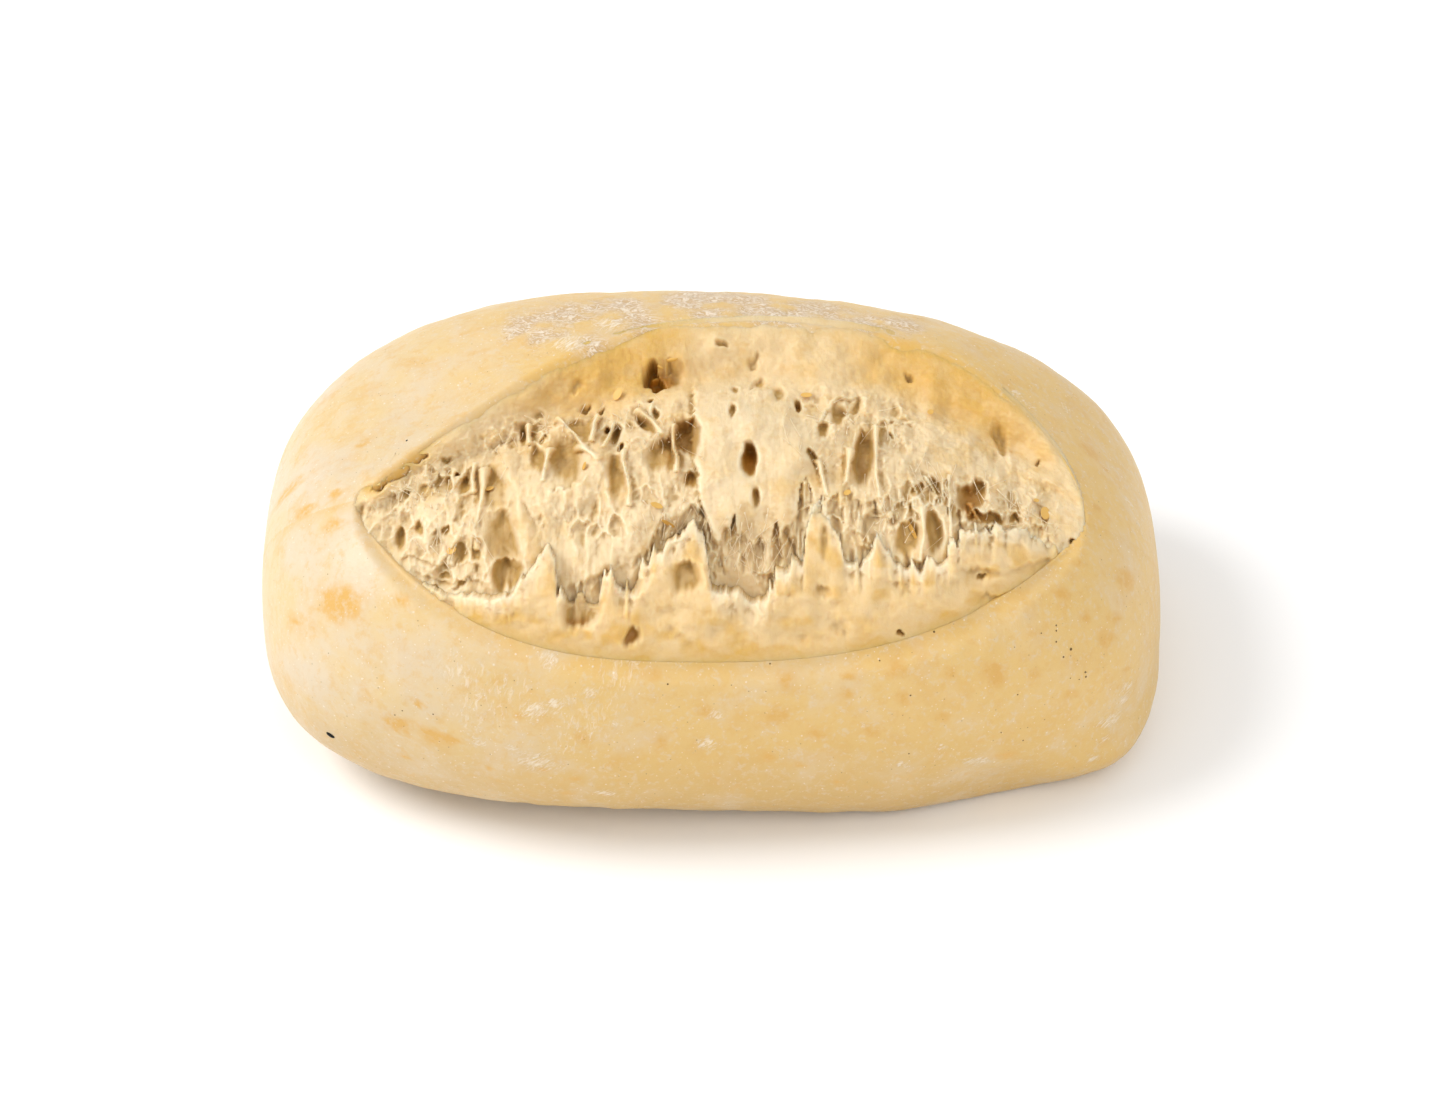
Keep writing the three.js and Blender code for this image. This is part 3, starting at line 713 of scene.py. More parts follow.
def golden_and_shaded(x):
    """How golden the band is, partly a painted shade under the top lip: strong at the left tip, where it is
    a painted shadow under the lip, left of the middle and at the right, weak between.
    """
    tip = 0.7 * smooth(-33, -39, x) * smooth(SLASH_LEFT, SLASH_LEFT + 2, x)
    return tip + mix(0.25, 1.15, within(x, *GOLD_LEFT) + 0.95 * within(x, *GOLD_RIGHT))


def slash_bed(x, v):
    """Depth of the crumb's smooth bed under the loaf's surface: a wall that curves in under the top lip, a
    face that comes out again below it, and a fall towards the tear, deepest in the middle."""
    below_top = top_lip(x) - v
    open_here = within(x, *OPEN_SLASH)
    wall = (WALL_DEPTH * smooth(50, 41, x) + WALL_DEEPENS * open_here) * smooth(0, 7, below_top)
    face = open_here * smooth(8, 20, below_top)
    return wall - face + (TEAR_DEPTH + TEAR_DEEPENS * within(x, *DEEP_TEAR)) * smooth(2, -13, v)


def spread(x, angle, spots, seed):
    """How strongly a point belongs to scattered spots: a bell curve at each, with an uneven outline."""
    uneven = 1 + 0.45 * noise(seed, x / 1.3, angle * SLASH_RADIUS / 1.3)
    value = 0
    for cx, degrees, half_width in spots:
        away = ((x - cx) ** 2 + turned_to(angle, degrees) ** 2) / (half_width * uneven) ** 2
        value = value + np.exp(-(away**1.5))
    return np.clip(value, 0, 1)


def crease_share(above_bottom):
    """1 in the crease along the bottom lip, falling off as a bell curve."""
    return np.exp(-(((above_bottom - CREASE_AT) / CREASE_WIDTH) ** 2))


def lower_crease(above_bottom):
    """Depth of the soft crease along the bottom lip: down from the crust's level on one side and up to the
    flap's level on the other."""
    share = crease_share(above_bottom)
    return np.where(above_bottom < CREASE_AT, CREASE_DEPTH * share, mix(FLAP_LEVEL, CREASE_DEPTH, share))


def crust_depth(x, angle):
    """Depth of the crust: lips that stand proud round the slash, the smooth wall under the top one, a trough
    between them that the crumb fills, and fine relief."""
    v = (SLASH_ANGLE - angle) * SLASH_RADIUS
    below_top, above_bottom, inside = from_lips(x, v)
    opened = smooth(0, 12, below_top + above_bottom) * smooth(SLASH_RIGHT, SLASH_RIGHT - 2.5, x)
    swell_here = LIP_SWELL * smooth(20, -30, x)
    top_swell = -swell_here * np.exp(-((np.minimum(inside, 0) / LIP_WIDTH) ** 2))
    bottom_fall = lower_crease(above_bottom)
    swell = np.where(below_top < above_bottom, top_swell, bottom_fall)
    over_hole = np.exp(-(((x - ROUND_HOLE) / 4) ** 4))
    wall_width = mix(0.6 + 0.25 * noise(31, x / 3.1), -0.2, over_hole)
    wall = slash_bed(x, v) - WALL_GAP - swell_here * smooth(1.5, 0, below_top)
    trough = np.maximum(slash_bed(x, v), 1.5) + TROUGH
    under_top = mix(wall, trough, np.clip((below_top - wall_width) / mix(3.0, 1.1, over_hole), 0, 1) ** 3)
    over_bottom = mix(bottom_fall, trough, smooth(0.6, 3.2, above_bottom))
    slashed = np.where(below_top < above_bottom, under_top, over_bottom)
    depth = np.where(inside > 0, slashed, swell) * opened
    (axis_y, axis_z), (out_y, out_z) = loaf(x, angle)
    spot = np.stack(np.broadcast_arrays(x, axis_y + out_y, axis_z + out_z))
    relief = 0.2 * layered(41, 3, *spot / 6) + 0.05 * noise(44, *spot / 1.3) + 0.3 * noise(47, *spot / 15)
    strip = spread(x, angle, FROSTED, 53)
    relief = relief + 0.35 * strip * np.abs(noise(45, x / 1.7, angle * SLASH_RADIUS / 1.6))
    return depth + relief * smooth(1, -1, inside)


def crust_angles(x):
    """Angles of the crust's columns at each row: close together from outside one lip to outside the other,
    with few in the trough, and even round the rest of the roll."""
    top = np.maximum(top_lip(x), TIP_V + 6)
    bottom = np.minimum(bottom_lip(x), TIP_V - 6)
    gap = top - bottom
    stops = [
        top + PAST_TOP_LIP,
        top - np.minimum(8.0, gap * 0.45),
        bottom + np.minimum(4.0, gap * 0.3),
        bottom - PAST_BOTTOM_LIP,
        top + PAST_TOP_LIP - 2 * math.pi * SLASH_RADIUS,
    ]
    runs = []
    for start, stop, count in zip(stops, stops[1:], CRUST_COLUMNS):
        runs.append(mix(start[:, None], stop[:, None], np.linspace(0, 1, count, endpoint=False)))
    angle = SLASH_ANGLE - np.concatenate(runs, axis=1) / SLASH_RADIUS
    return np.where(angle > SLASH_ANGLE + math.pi, angle - 2 * math.pi, angle)


def closed_faces(rows, columns):
    """Quads of a grid that closes round its columns, and a fan to one more point at each end."""
    i, j = np.meshgrid(np.arange(rows - 1), np.arange(columns), indexing="ij")
    a, b = i * columns + j, i * columns + (j + 1) % columns
    quads = np.stack([a, b, b + columns, a + columns], axis=-1).reshape(-1, 4)
    j = np.arange(columns)
    next_j = (j + 1) % columns
    first_pole = rows * columns
    last_row = (rows - 1) * columns
    first = np.stack([first_pole + 0 * j, next_j, j], axis=-1)
    last = np.stack([first_pole + 1 + 0 * j, last_row + j, last_row + next_j], axis=-1)
    return quads.tolist() + first.tolist() + last.tolist()


def crust_grid():
    """Coordinates of the crust: rows even in angle round a superellipse, so they close up to a pole at each
    end of the roll, and columns round it."""
    turn = np.linspace(-math.pi / 2, math.pi / 2, CRUST_ROWS + 2)[1:-1]
    s, c = np.abs(np.sin(turn)), np.abs(np.cos(turn))
    x = HALF_LENGTH * np.sin(turn) * (s**LEFT_END + c**LEFT_END) ** (-1 / LEFT_END)
    angle = crust_angles(x)
    return x[:, None] + 0 * angle, angle


def crust_shades(x, angle):
    """Values for the crust's paint: the listed spots, a painted shade low down, partly a browner underside,
    more baked towards the right and on top, and golden where it turns in under the top lip, partly a painted
    shade under the lip, with a painted shade in the crease along the bottom lip."""
    degrees = np.degrees(angle) % 360
    below_top, above_bottom, inside = from_lips(x, (SLASH_ANGLE - angle) * SLASH_RADIUS)
    crease_shade = smooth(-3, 0.5, inside)
    (_, axis_z), (_, out_z) = loaf(x, angle)
    low = smooth(26, 6, axis_z + out_z)
    above = smooth(130, 90, degrees) + smooth(300, 330, degrees)
    return dict(
        stain=spread(x, angle, STAINS, 51),
        flour=spread(x, angle, FLOURED, 52),
        streaks=spread(x, angle, STREAKED, 54),
        frost=spread(x, angle, FROSTED, 53),
        # Painted shade low down towards the base, partly a browner underside; the low term of baked below
        # darkens it further
        heel_and_shade=mix(0.75, 0.3, smooth(25, 48, x)) * low,
        baked=np.clip(0.3 * above * smooth(-45, -5, x) + 0.9 * smooth(-52, -8, x) + 0.25 * low, 0, 1),
        # Golden under the top lip, partly a painted shade; a painted shade in the crease along the bottom
        # lip
        wall=np.where(below_top < above_bottom, golden_and_shaded(x) * smooth(-0.8, 1.6, inside), 0.5 * crease_shade),
        skin=np.stack([x, angle * SLASH_RADIUS, 0 * x], axis=-1),
    )


crust_x, crust_angle = crust_grid()
crust_points = place(crust_x, crust_angle, crust_depth(crust_x, crust_angle)).reshape(-1, 3)
poles = place(np.array([-HALF_LENGTH, HALF_LENGTH]), np.zeros(2), np.zeros(2))
crust_points = np.concatenate([crust_points, poles])
crust_values = with_more(crust_shades(crust_x, crust_angle), len(poles))
box_middle = np.mean(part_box("bread_roll"), axis=0) / MM
grid_middle = (crust_points.min(axis=0) + crust_points.max(axis=0)) / 2
# The solid was moved so that its box stands over the origin, and the pieces are moved with it
SEAT = (box_middle - grid_middle) * (1, 1, 0)
crust_paint = crust_material()
crust_faces = closed_faces(*crust_x.shape)
new_piece("crust", crust_points + SEAT, crust_faces, crust_paint, crust_values)

# Crumb


def grid_of(low, high):
    """Coordinates of a grid over the slash: x down the rows, v along the columns."""
    return [np.arange(a, b, PITCH).reshape(shape) for a, b, shape in zip(low, high, ((-1, 1), (1, -1)))]


def blurred(values, radius):
    """Mean over a square of the given radius, from running sums along each direction."""
    steps = max(1, round(radius / PITCH))
    for axis in range(2):
        padding = [(steps + 1, steps) if i == axis else (0, 0) for i in range(2)]
        sums = np.cumsum(np.pad(values, padding, mode="edge"), axis=axis)
        size = values.shape[axis]
        ahead = np.take(sums, range(2 * steps + 1, 2 * steps + 1 + size), axis=axis)
        behind = np.take(sums, range(0, size), axis=axis)
        values = (ahead - behind) / (2 * steps + 1)
    return values


def lift(depth, radius):
    """How far each point stands over the mean of its surroundings."""
    return blurred(depth, radius) - depth


def around(x, v, cx, cv, half_width, half_height, reach):
    """The window of a grid that lies within reach times the half-sizes of a point."""
    i = np.searchsorted(x.ravel(), [cx - reach * half_width, cx + reach * half_width])
    j = np.searchsorted(v.ravel(), [cv - reach * half_height, cv + reach * half_height])
    return slice(i[0], i[1]), slice(j[0], j[1])


def dig(hollow, x, v, warp_x, warp_v, spots):
    """Adds spots to a grid of hollow depths: an uneven oval, steep at its rim, nearly flat within, steeper
    where it is deep, and deeper towards its upper end, where the torn wall overhangs it."""
    for cx, cv, half_width, half_height, depth, lean in spots:
        w = around(x, v, cx, cv, half_width + abs(lean) * half_height, half_height, 1.7)
        middle = np.searchsorted(x.ravel(), cx), min(np.searchsorted(v.ravel(), cv), v.size - 1)
        dv = (v[:, w[1]] + warp_v[w] - warp_v[middle] - cv) / half_height
        dx = (x[w[0]] + warp_x[w] - warp_x[middle] - cx) / half_width - lean * dv * half_height / half_width
        away = (np.abs(dx) ** 2.2 + np.abs(dv) ** 2.2) ** (1 / 2.2)
        floor_edge = mix(0.3, 0.75, smooth(1.5, 3.5, depth))
        hollow[w] = np.maximum(hollow[w], depth * smooth(1.08, floor_edge, away) * (1 + 0.3 * dv))


def foam(x, v, warp_x, warp_v, cells):
    """Depth of a foam of cells cut open: each point belongs to the cell that is nearest for its size, and
    the depth falls from the cell's middle to a thin web where two cells are equally near."""
    nearest = np.full(warp_x.shape, 9.0)
    second = nearest.copy()
    depth = 0 * nearest
    for cx, cv, size, stretch, deep in cells:
        w = around(x, v, cx, cv, size, size * stretch, 3.0)
        away = np.hypot((x[w[0]] + warp_x[w] - cx) / size, (v[:, w[1]] + warp_v[w] - cv) / (size * stretch))
        closer = away < nearest[w]
        second[w] = np.where(closer, nearest[w], np.minimum(second[w], away))
        nearest[w] = np.where(closer, away, nearest[w])
        depth[w] = np.where(closer, deep, depth[w])
    return depth * (1 - (nearest / np.maximum(second, 0.01)) ** 2.5)


def packed_cells(seed, sizes, tries):
    """Random cells that don't crowd each other. From the largest size down, a random place is kept if it
    clears every cell before it, measured with heights shrunk by the cells' stretch."""
    rng = np.random.default_rng(seed)
    stretch = 2.1
    kept = np.zeros((0, 3))
    cells = []
    for size in sizes:
        for _ in range(int(tries / size)):
            x, v = rng.uniform(SLASH_LEFT, SLASH_RIGHT), rng.uniform(-24, 33)
            half = size * rng.uniform(0.8, 1.2)
            if np.any(np.hypot(kept[:, 0] - x, kept[:, 1] - v / stretch) < 0.75 * (kept[:, 2] + half)):
                continue
            kept = np.append(kept, [(x, v / stretch, half)], axis=0)
            cells.append((x, v, half, stretch * rng.uniform(0.6, 1.3), half * rng.uniform(0.2, 1.6)))
    return cells


def webs(seed, x, v, width, length):
    """Thin raised webs along the zero lines of a noise field: 1 on a line, falling off steeply."""
    field = noise(seed, x / width, v / length) + 0.35 * noise(seed + 1, 2.6 * x / width, 2.6 * v / length)
    return np.maximum(0, 1 - np.abs(field) / 0.22) ** 2


def flakes(seed, x, v, width, length):
    """Overlapping torn flakes: a noise field cut into steps with sharp edges."""
    field = 2.4 * noise(seed, x / width, v / length) + 0.7 * noise(seed + 1, x / 0.8, v / 1.1)
    step = np.floor(field)
    return step + smooth(0, 0.22, field - step)


def strength(x, v, parts, least):
    """Sum of bell curves over parts of the slash, from least up to 1."""
    value = least
    for cx, cv, half_width, half_height, height in parts:
        value = value + height * np.exp(-(((x - cx) / half_width) ** 2) - ((v - cv) / half_height) ** 2)
    return np.clip(value, 0, 1)


def nearest_on(x, v, x0, v0, x1, v1):
    """Where the nearest point of a straight line lies, from 0 to 1, and how far away it is."""
    along = np.clip(((x - x0) * (x1 - x0) + (v - v0) * (v1 - v0)) / ((x1 - x0) ** 2 + (v1 - v0) ** 2), 0, 1)
    return along, np.hypot(x - x0 - along * (x1 - x0), v - v0 - along * (v1 - v0))


def stretch_strands(surface, crest, x, v, warp_x):
    """Raises each strand out of a surface: a parabola across it, thinner in its middle."""
    for x0, v0, x1, v1, half_width, height in STRANDS:
        w = around(x, v, (x0 + x1) / 2, (v0 + v1) / 2, abs(x1 - x0) / 2 + 2, abs(v1 - v0) / 2 + 2, 1)
        along, away = nearest_on(x[w[0]] + 0.8 * warp_x[w], v[:, w[1]], x0, v0, x1, v1)
        width = half_width * (1 + 0.9 * (2 * along - 1) ** 2)
        surface[w] = np.minimum(surface[w], crest[w] - height + 1.2 * (away / width) ** 2)


def height_on(points, x):
    """Height v at x of a line through points x, v."""
    line_x, line_v = np.array(points).T
    return np.interp(x, line_x, line_v)


def fray(seed, x):
    """Raggedness of a torn edge: waves, and sharp narrow teeth."""
    waves = 0.3 * noise(seed, x / 1.5) + 0.3 * noise(seed + 1, x / 0.5)
    return waves + 1.8 * np.abs(noise(seed + 2, x / 0.7)) ** 3


def ledges(x, v, warp_v, lines, seed, softness):
    """Depth under torn ledges: the full drop just below the line, which fades with the distance under it
    and towards the line's ends. A soft ledge is rounded and less ragged."""
    depth = 0
    for points, drop, reach in lines:
        first, last = points[0][0], points[-1][0]
        under = height_on(points, x) + fray(seed, x) * 0.6 * (1 - softness) - v - 0.5 * warp_v
        ends = smooth(first - 0.5, first + 2, x) * smooth(last + 0.5, last - 2, x)
        start = smooth(-0.1 - 0.6 * softness, 0.15 + 0.6 * softness, under)
        depth = depth + drop * ends * start * np.exp(-np.maximum(under, 0) / reach)
    return depth


def actual(v, depth):
    """Height on the slash of a point of the crumb's grid, once it leans."""
    lean = np.tan(np.clip(LEAN_AT_MIDDLE + v / SLASH_RADIUS, 0, LEAN_MOST))
    return v + lean * (depth - LEAN_FROM)


def crumb_place(x, v, depth):
    """Points of the crumb from their places on its grid and their depths."""
    return place(x, SLASH_ANGLE - actual(v, depth) / SLASH_RADIUS, depth)


def warps(seed, x, v):
    """Two fields that bend outlines: sideways by up to half a millimetre, and up and down with a quick
    change along the slash, so that torn edges end in teeth and fibres."""
    across = 0.42 * noise(seed, x / 2.6, v / 4.5) + 0.2 * noise(seed + 1, x / 0.9, v / 1.8)
    up = 0.6 * noise(seed + 2, x / 3.0, v / 4.0) + 0.3 * noise(seed + 3, x / 0.9, v / 1.5)
    fibres = 0.5 * noise(seed + 4, x / 0.75 + 0.12 * v, v / 4.0) + 0.35 * noise(seed + 5, x / 0.4, v / 3.0)
    return across, up + fibres


def curtain_share(x, v):
    """1 on the smooth curtain that hangs in the middle: its left edge is free and frayed, the other sides
    fade out."""
    left_edge = -2.9 + 0.10 * (12 - v) * smooth(12, -8, v)
    left_edge = left_edge + 0.2 * noise(18, v / 0.6) + 0.3 * noise(19, v / 2.6)
    return smooth(-0.15, 0.2, x - left_edge) * smooth(14, 9, x) * smooth(24, 13, v)


def cavity_surface(x, v, warp_x, warp_v, bed, cells):
    """Depth of the cavity under the hem: deepest in the middle, coming out again at its foot there, and
    crossed by fibres, webs and the walls of cells."""
    deep = (0.4 + 0.8 * within(x, *CAVITY)) * smooth(44, 38, x)
    coarse = np.abs(noise(68, x / 1.4 + 0.6 * warp_v, v / 5.0))
    thin = np.abs(noise(69, x / 0.6 + 0.5 * warp_v, v / 2.2))
    fibres = coarse * 1.5 + 0.8 * thin + 0.8 * webs(37, x + warp_x, v, 1.6, 5.0) - 0.5 * cells
    rising = 1.8 * smooth(-8, -14, v) * within(x, *CAVITY_FOOT)
    return bed + deep - (fibres - 0.6) * mix(0.4, 1.0, smooth(-12, -6, x)) - rising


def upper_surface(x, v):
    """Depth of the upper crumb, and its paint. The depth is its bed with soft lumps, open foam, hollows,
    ledges, streaks down the slash, the curtain, strands across the hollows, and the cavity under the hem.
    The paint is a tan painted shade in what is sunken, in hollows and under the hem, a dark amber painted
    shade in deep hollows, golden in the band under the lip, partly a painted shade under it, and white on
    what is torn, with a painted highlight on what is raised."""
    warp_x, warp_v = warps(61, x, v)
    bed = LEAN_FROM
    for _ in range(BED_ROUNDS):
        bed = slash_bed(x, actual(v, bed))
    below_top = top_lip(x) - actual(v, bed)
    band = wall_band(x) * (1 + 0.25 * noise(15, x / 5.0, 0 * v) + 0.12 * noise(20, x / 1.6, v / 3.0))
    torn = smooth(band * 0.9, band * 1.3 + 1.5, below_top) * smooth(48, 42, x)
    soft = 0.55 * noise(16, x / 5.0, v / 6.0) + 0.4 * noise(17, x / 2.2, v / 3.2)
    hollow = 0 * warp_x
    dig(hollow, x, v, warp_x, warp_v, HOLLOWS)
    curtain = curtain_share(x, v)
    calm = (1 - 0.8 * smooth(0, 0.6, hollow)) * (1 - 0.8 * curtain)
    open_here = strength(x, v, OPEN_PARTS, 0.12) * torn * calm
    cells = foam(x, v, 1.5 * warp_x, 0.9 * warp_v, packed_cells(5, (1.0, 0.75, 0.55, 0.42), 2000))
    bubbles = foam(x, v, warp_x * 0.7, warp_v * 0.5, packed_cells(6, (0.45, 0.34), 2400))
    wide_streaks = 0.13 * noise(11, x / 0.9 + 0.5 * warp_v, v / 5.0)
    streaks = wide_streaks + 0.10 * noise(12, x / 0.45 + 0.3 * warp_v, v / 2.6)
    surface = bed + 1.25 * soft * smooth(0, 4, below_top) + hollow + open_here * cells * 0.95
    surface = surface + (0.08 + 0.38 * open_here) * bubbles * torn + streaks * torn * (1 - 0.6 * curtain)
    fine_webs = webs(31, x + 0.8 * warp_x, v, 2.4, 6.5) + 0.7 * webs(33, x + 0.8 * warp_x, v, 1.3, 4.0)
    surface = surface - (0.08 + 0.32 * open_here) * fine_webs * torn
    surface = surface - 0.11 * flakes(35, x, v + warp_v, 3.2, 3.4) * torn * (1 - curtain)
    surface = surface + ledges(x, v, warp_v, CRUMB_LEDGES, 81, 0.2) * torn
    surface = surface - 1.6 * curtain * smooth(-8, 1, v)
    stretch_strands(surface, bed + 0.2 * warp_v, x, v, warp_x)
    over_hem = v - height_on(HEM, x) + fray(66, x)
    under = smooth(0.25, mix(-0.25, -0.9, smooth(2, -6, v)), over_hem) * smooth(-22.6, -22.2, x)
    cavity = cavity_surface(x, v, warp_x, warp_v, bed, cells)
    surface = mix(surface, np.maximum(cavity, surface), under)
    fine = 0.06 * noise(13, x / 0.4, v / 0.5) + 0.08 * noise(14, x / 0.8, v / 1.2)
    surface = surface + fine * smooth(0, 3, below_top)
    # Golden in the band under the top lip, darkest just under it: partly a painted shade under the lip
    gold_and_shade = golden_and_shaded(x) * smooth(1.7, 0.5, below_top / band)
    high = lift(surface, SURROUNDINGS)
    # Painted highlight: whiter on crests that stand over their surroundings
    raised_highlight = smooth(0.10, 0.40, high) * (1 - gold_and_shade)
    # Painted shade: tan in sunken places, in hollows and under the hem
    sunken_shade = 0.8 * smooth(-0.06, -0.5, high) * (1 - 0.75 * under)
    hollow_shade = 0.8 * smooth(0.2, 1.5, hollow) + 0.3 * open_here * smooth(0.3, 1, cells) + 0.15 * under
    torn_white = strength(x, v, WHITE_PARTS, 0) * (1 - smooth(0.3, 1.2, hollow))
    paint = dict(
        tan=np.clip(np.clip(hollow_shade, 0, 1) * (1 - 0.5 * raised_highlight) + sunken_shade, 0, 1),
        amber_shade=smooth(0.5, 1.6, hollow) * strength(x, v, AMBER_SHADE_PARTS, 0),
        gold_and_shade=gold_and_shade,
        white=np.clip(0.7 * torn_white + 0.6 * raised_highlight, 0, 1),
    )
    return surface, paint


def flap_surface(x, v):
    """Depth of the flap, its paint and the height of its torn edge. The depth is a crease along the bottom
    lip, soft lumps, hollows and ledges; past the torn edge it falls steeply into the cavity."""
    warp_x, warp_v = warps(71, x, v)
    edge = height_on(FLAP_EDGE, x) + 0.2 + mix(0.3, 1.0, smooth(-27, -22, x)) * fray(85, x)
    above_bottom = actual(v, 0.8) - bottom_lip(x)
    soft = 0.5 * noise(22, x / 6.5, v / 5.0) + 0.5 * noise(21, x / 2.8, v / 2.4)
    soft = soft + 0.2 * noise(23, x / 1.1, v / 1.0)
    hollow = 0 * warp_x
    dig(hollow, x, v, warp_x, warp_v, FLAP_HOLLOWS)
    near_edge = smooth(5, 0, edge - v)
    bubbles = foam(x, v, warp_x, warp_v, packed_cells(7, (1.1, 0.8, 0.55), 1100))
    streaks = 0.18 * noise(25, x / 0.8 + 0.5 * warp_v, v / 3.0) + 0.12 * noise(26, x / 0.4, v / 1.6)
    ledge = ledges(x, v, warp_v, FLAP_LEDGES, 91, 0.8)
    surface = lower_crease(above_bottom) + UNDER_CRUST_LEVEL * smooth(0.8, -0.2, above_bottom)
    surface = surface + soft * smooth(0.5, 4, above_bottom) + hollow + 0.45 * near_edge * bubbles
    surface = surface + streaks * near_edge + ledge + (0.4 + 1.8 * smooth(32, 45, x)) * near_edge**2
    surface = surface + 2.6 * smooth(-13, -4, v) * smooth(31, 25, x)
    torn_flakes = flakes(29, x, v + 0.6 * warp_v, 3.0, 2.2)
    surface = surface - (0.05 + 0.16 * near_edge) * torn_flakes * smooth(1, 4, above_bottom)
    surface = surface + 0.04 * noise(27, x / 0.4, v / 0.4)
    surface = surface + smooth(0, 0.5, v - edge) * (7 + 1.5 * noise(32, x / 0.9, v / 1.5))
    blotches = smooth(0.1, 0.7, noise(24, x / 3.0, v / 2.2) + 0.4 * noise(30, x / 1.0, v / 1.0))
    over_edge, under_edge = v - edge, edge - v
    # Painted shade: tan on the ledges, behind the torn edge, in hollows and in sunken places
    sunken_shade = 0.4 * smooth(0.3, 1.0, ledge) + 0.8 * smooth(0.1, 0.5, over_edge)
    sunken_shade = sunken_shade + 0.7 * smooth(-0.06, -0.4, lift(surface, SURROUNDINGS))
    frill = 0.9 * smooth(1.3, 0.2, under_edge) * smooth(0.4, 0, over_edge)
    torn_white = np.clip(frill + 0.7 * strength(x, v, WHITE_PARTS, 0), 0, 1)
    # Gold: a painted shade in the crease along the bottom lip, and the flap's own golden tone and blotches
    gold_and_shade = 0.5 * crease_share(above_bottom) + 0.4 * smooth(1, 4, under_edge)
    gold_and_shade = gold_and_shade + 0.5 * blotches * smooth(0.5, 2.5, under_edge)
    paint = dict(
        tan=np.clip(0.5 * smooth(0.2, 1.2, hollow) + sunken_shade, 0, 1),
        # Painted shade: amber in the flap's deep hollows low down
        amber_shade=0.8 * smooth(0.5, 1.1, hollow) * smooth(-17.5, -18.5, v),
        gold_and_shade=np.clip(gold_and_shade, 0, 1),
        white=torn_white * (1 - smooth(0.3, 1.0, hollow)),
    )
    return surface, paint, edge


def crumb_piece(name, x, v, depth, paint, keep, floor_depth, material):
    """Piece of crumb from its depths on a grid, where keep says so. Its open rim goes down to a floor, and
    a fan to one middle point closes it."""
    number = np.arange(depth.size).reshape(depth.shape)
    inside = keep[:-1, :-1] & keep[1:, :-1] & keep[1:, 1:] & keep[:-1, 1:]
    corners = [n[inside] for n in (number[:-1, :-1], number[:-1, 1:], number[1:, 1:], number[1:, :-1])]
    quads = np.stack(corners, axis=-1)
    used, quads = np.unique(quads, return_inverse=True)
    quads = quads.reshape(-1, 4)
    edges = np.concatenate([quads[:, [i, (i + 1) % 4]] for i in range(4)])
    key = edges[:, 0] * len(used) + edges[:, 1]
    back = edges[:, 1] * len(used) + edges[:, 0]
    rim = edges[~np.isin(key, back)]
    rows = np.broadcast_to(x, depth.shape).ravel()[used]
    columns = np.broadcast_to(v, depth.shape).ravel()[used]
    deep = depth.ravel()[used]
    points = crumb_place(rows, columns, deep)
    ring, rim_order = np.unique(rim, return_inverse=True)
    rim_order = rim_order.reshape(-1, 2)
    low = place(rows[ring], SLASH_ANGLE - columns[ring] / SLASH_RADIUS, floor_depth + 0 * rows[ring])
    first_low = len(points)
    middle = first_low + len(low)
    lower = rim_order + first_low
    skirt = np.stack([rim[:, 1], rim[:, 0], lower[:, 0], lower[:, 1]], axis=-1)
    fan = np.stack([lower[:, 1], lower[:, 0], 0 * lower[:, 0] + middle], axis=-1)
    across = np.stack([rows, columns, deep], axis=-1)
    values = {key: value.ravel()[used] for key, value in paint.items()} | dict(across=across)
    values = with_more(values, len(low) + 1)
    points = np.concatenate([points, low, low.mean(axis=0, keepdims=True)])
    faces = quads.tolist() + skirt.tolist() + fan.tolist()
    return new_piece(name, points + SEAT, faces, material, values)


crumb_paint = crumb_material()
crumb_x, crumb_v = grid_of((SLASH_LEFT - 2, -26), (SLASH_RIGHT + 2, 36))
crumb_depth, crumb_values = upper_surface(crumb_x, crumb_v)
in_crumb = top_lip(crumb_x) - actual(crumb_v, crumb_depth) > -UNDER_TOP_LIP
in_crumb = in_crumb & (crumb_v - bottom_lip(crumb_x) > -UNDER_BOTTOM_LIP)
in_crumb = in_crumb & (crumb_v - height_on(FLAP_EDGE, crumb_x) > -BEHIND_FLAP)
in_crumb = in_crumb & (crumb_x > SLASH_LEFT) & (crumb_x < SLASH_RIGHT)
crumb_piece("torn_crumb", crumb_x, crumb_v, crumb_depth, crumb_values, in_crumb, CRUMB_FLOOR, crumb_paint)

flap_x, flap_v = grid_of((SLASH_LEFT - 2, -27), (SLASH_RIGHT + 2, 2))
flap_depth, flap_values, flap_edge = flap_surface(flap_x, flap_v)
in_flap = (flap_v < flap_edge + PAST_EDGE) & (actual(flap_v, flap_depth) - bottom_lip(flap_x) > -UNDER_CRUST)
in_flap = in_flap & (flap_x > FLAP_SPAN[0]) & (flap_x < FLAP_SPAN[1])
crumb_piece("lower_flap", flap_x, flap_v, flap_depth, flap_values, in_flap, FLAP_FLOOR, crumb_paint)


# Specks, pin-pricks and husks


def repeated(faces, size, count):
    """The faces of a body of size points again for each of count bodies."""
    return [[corner + i * size for corner in face] for i in range(count) for face in faces]


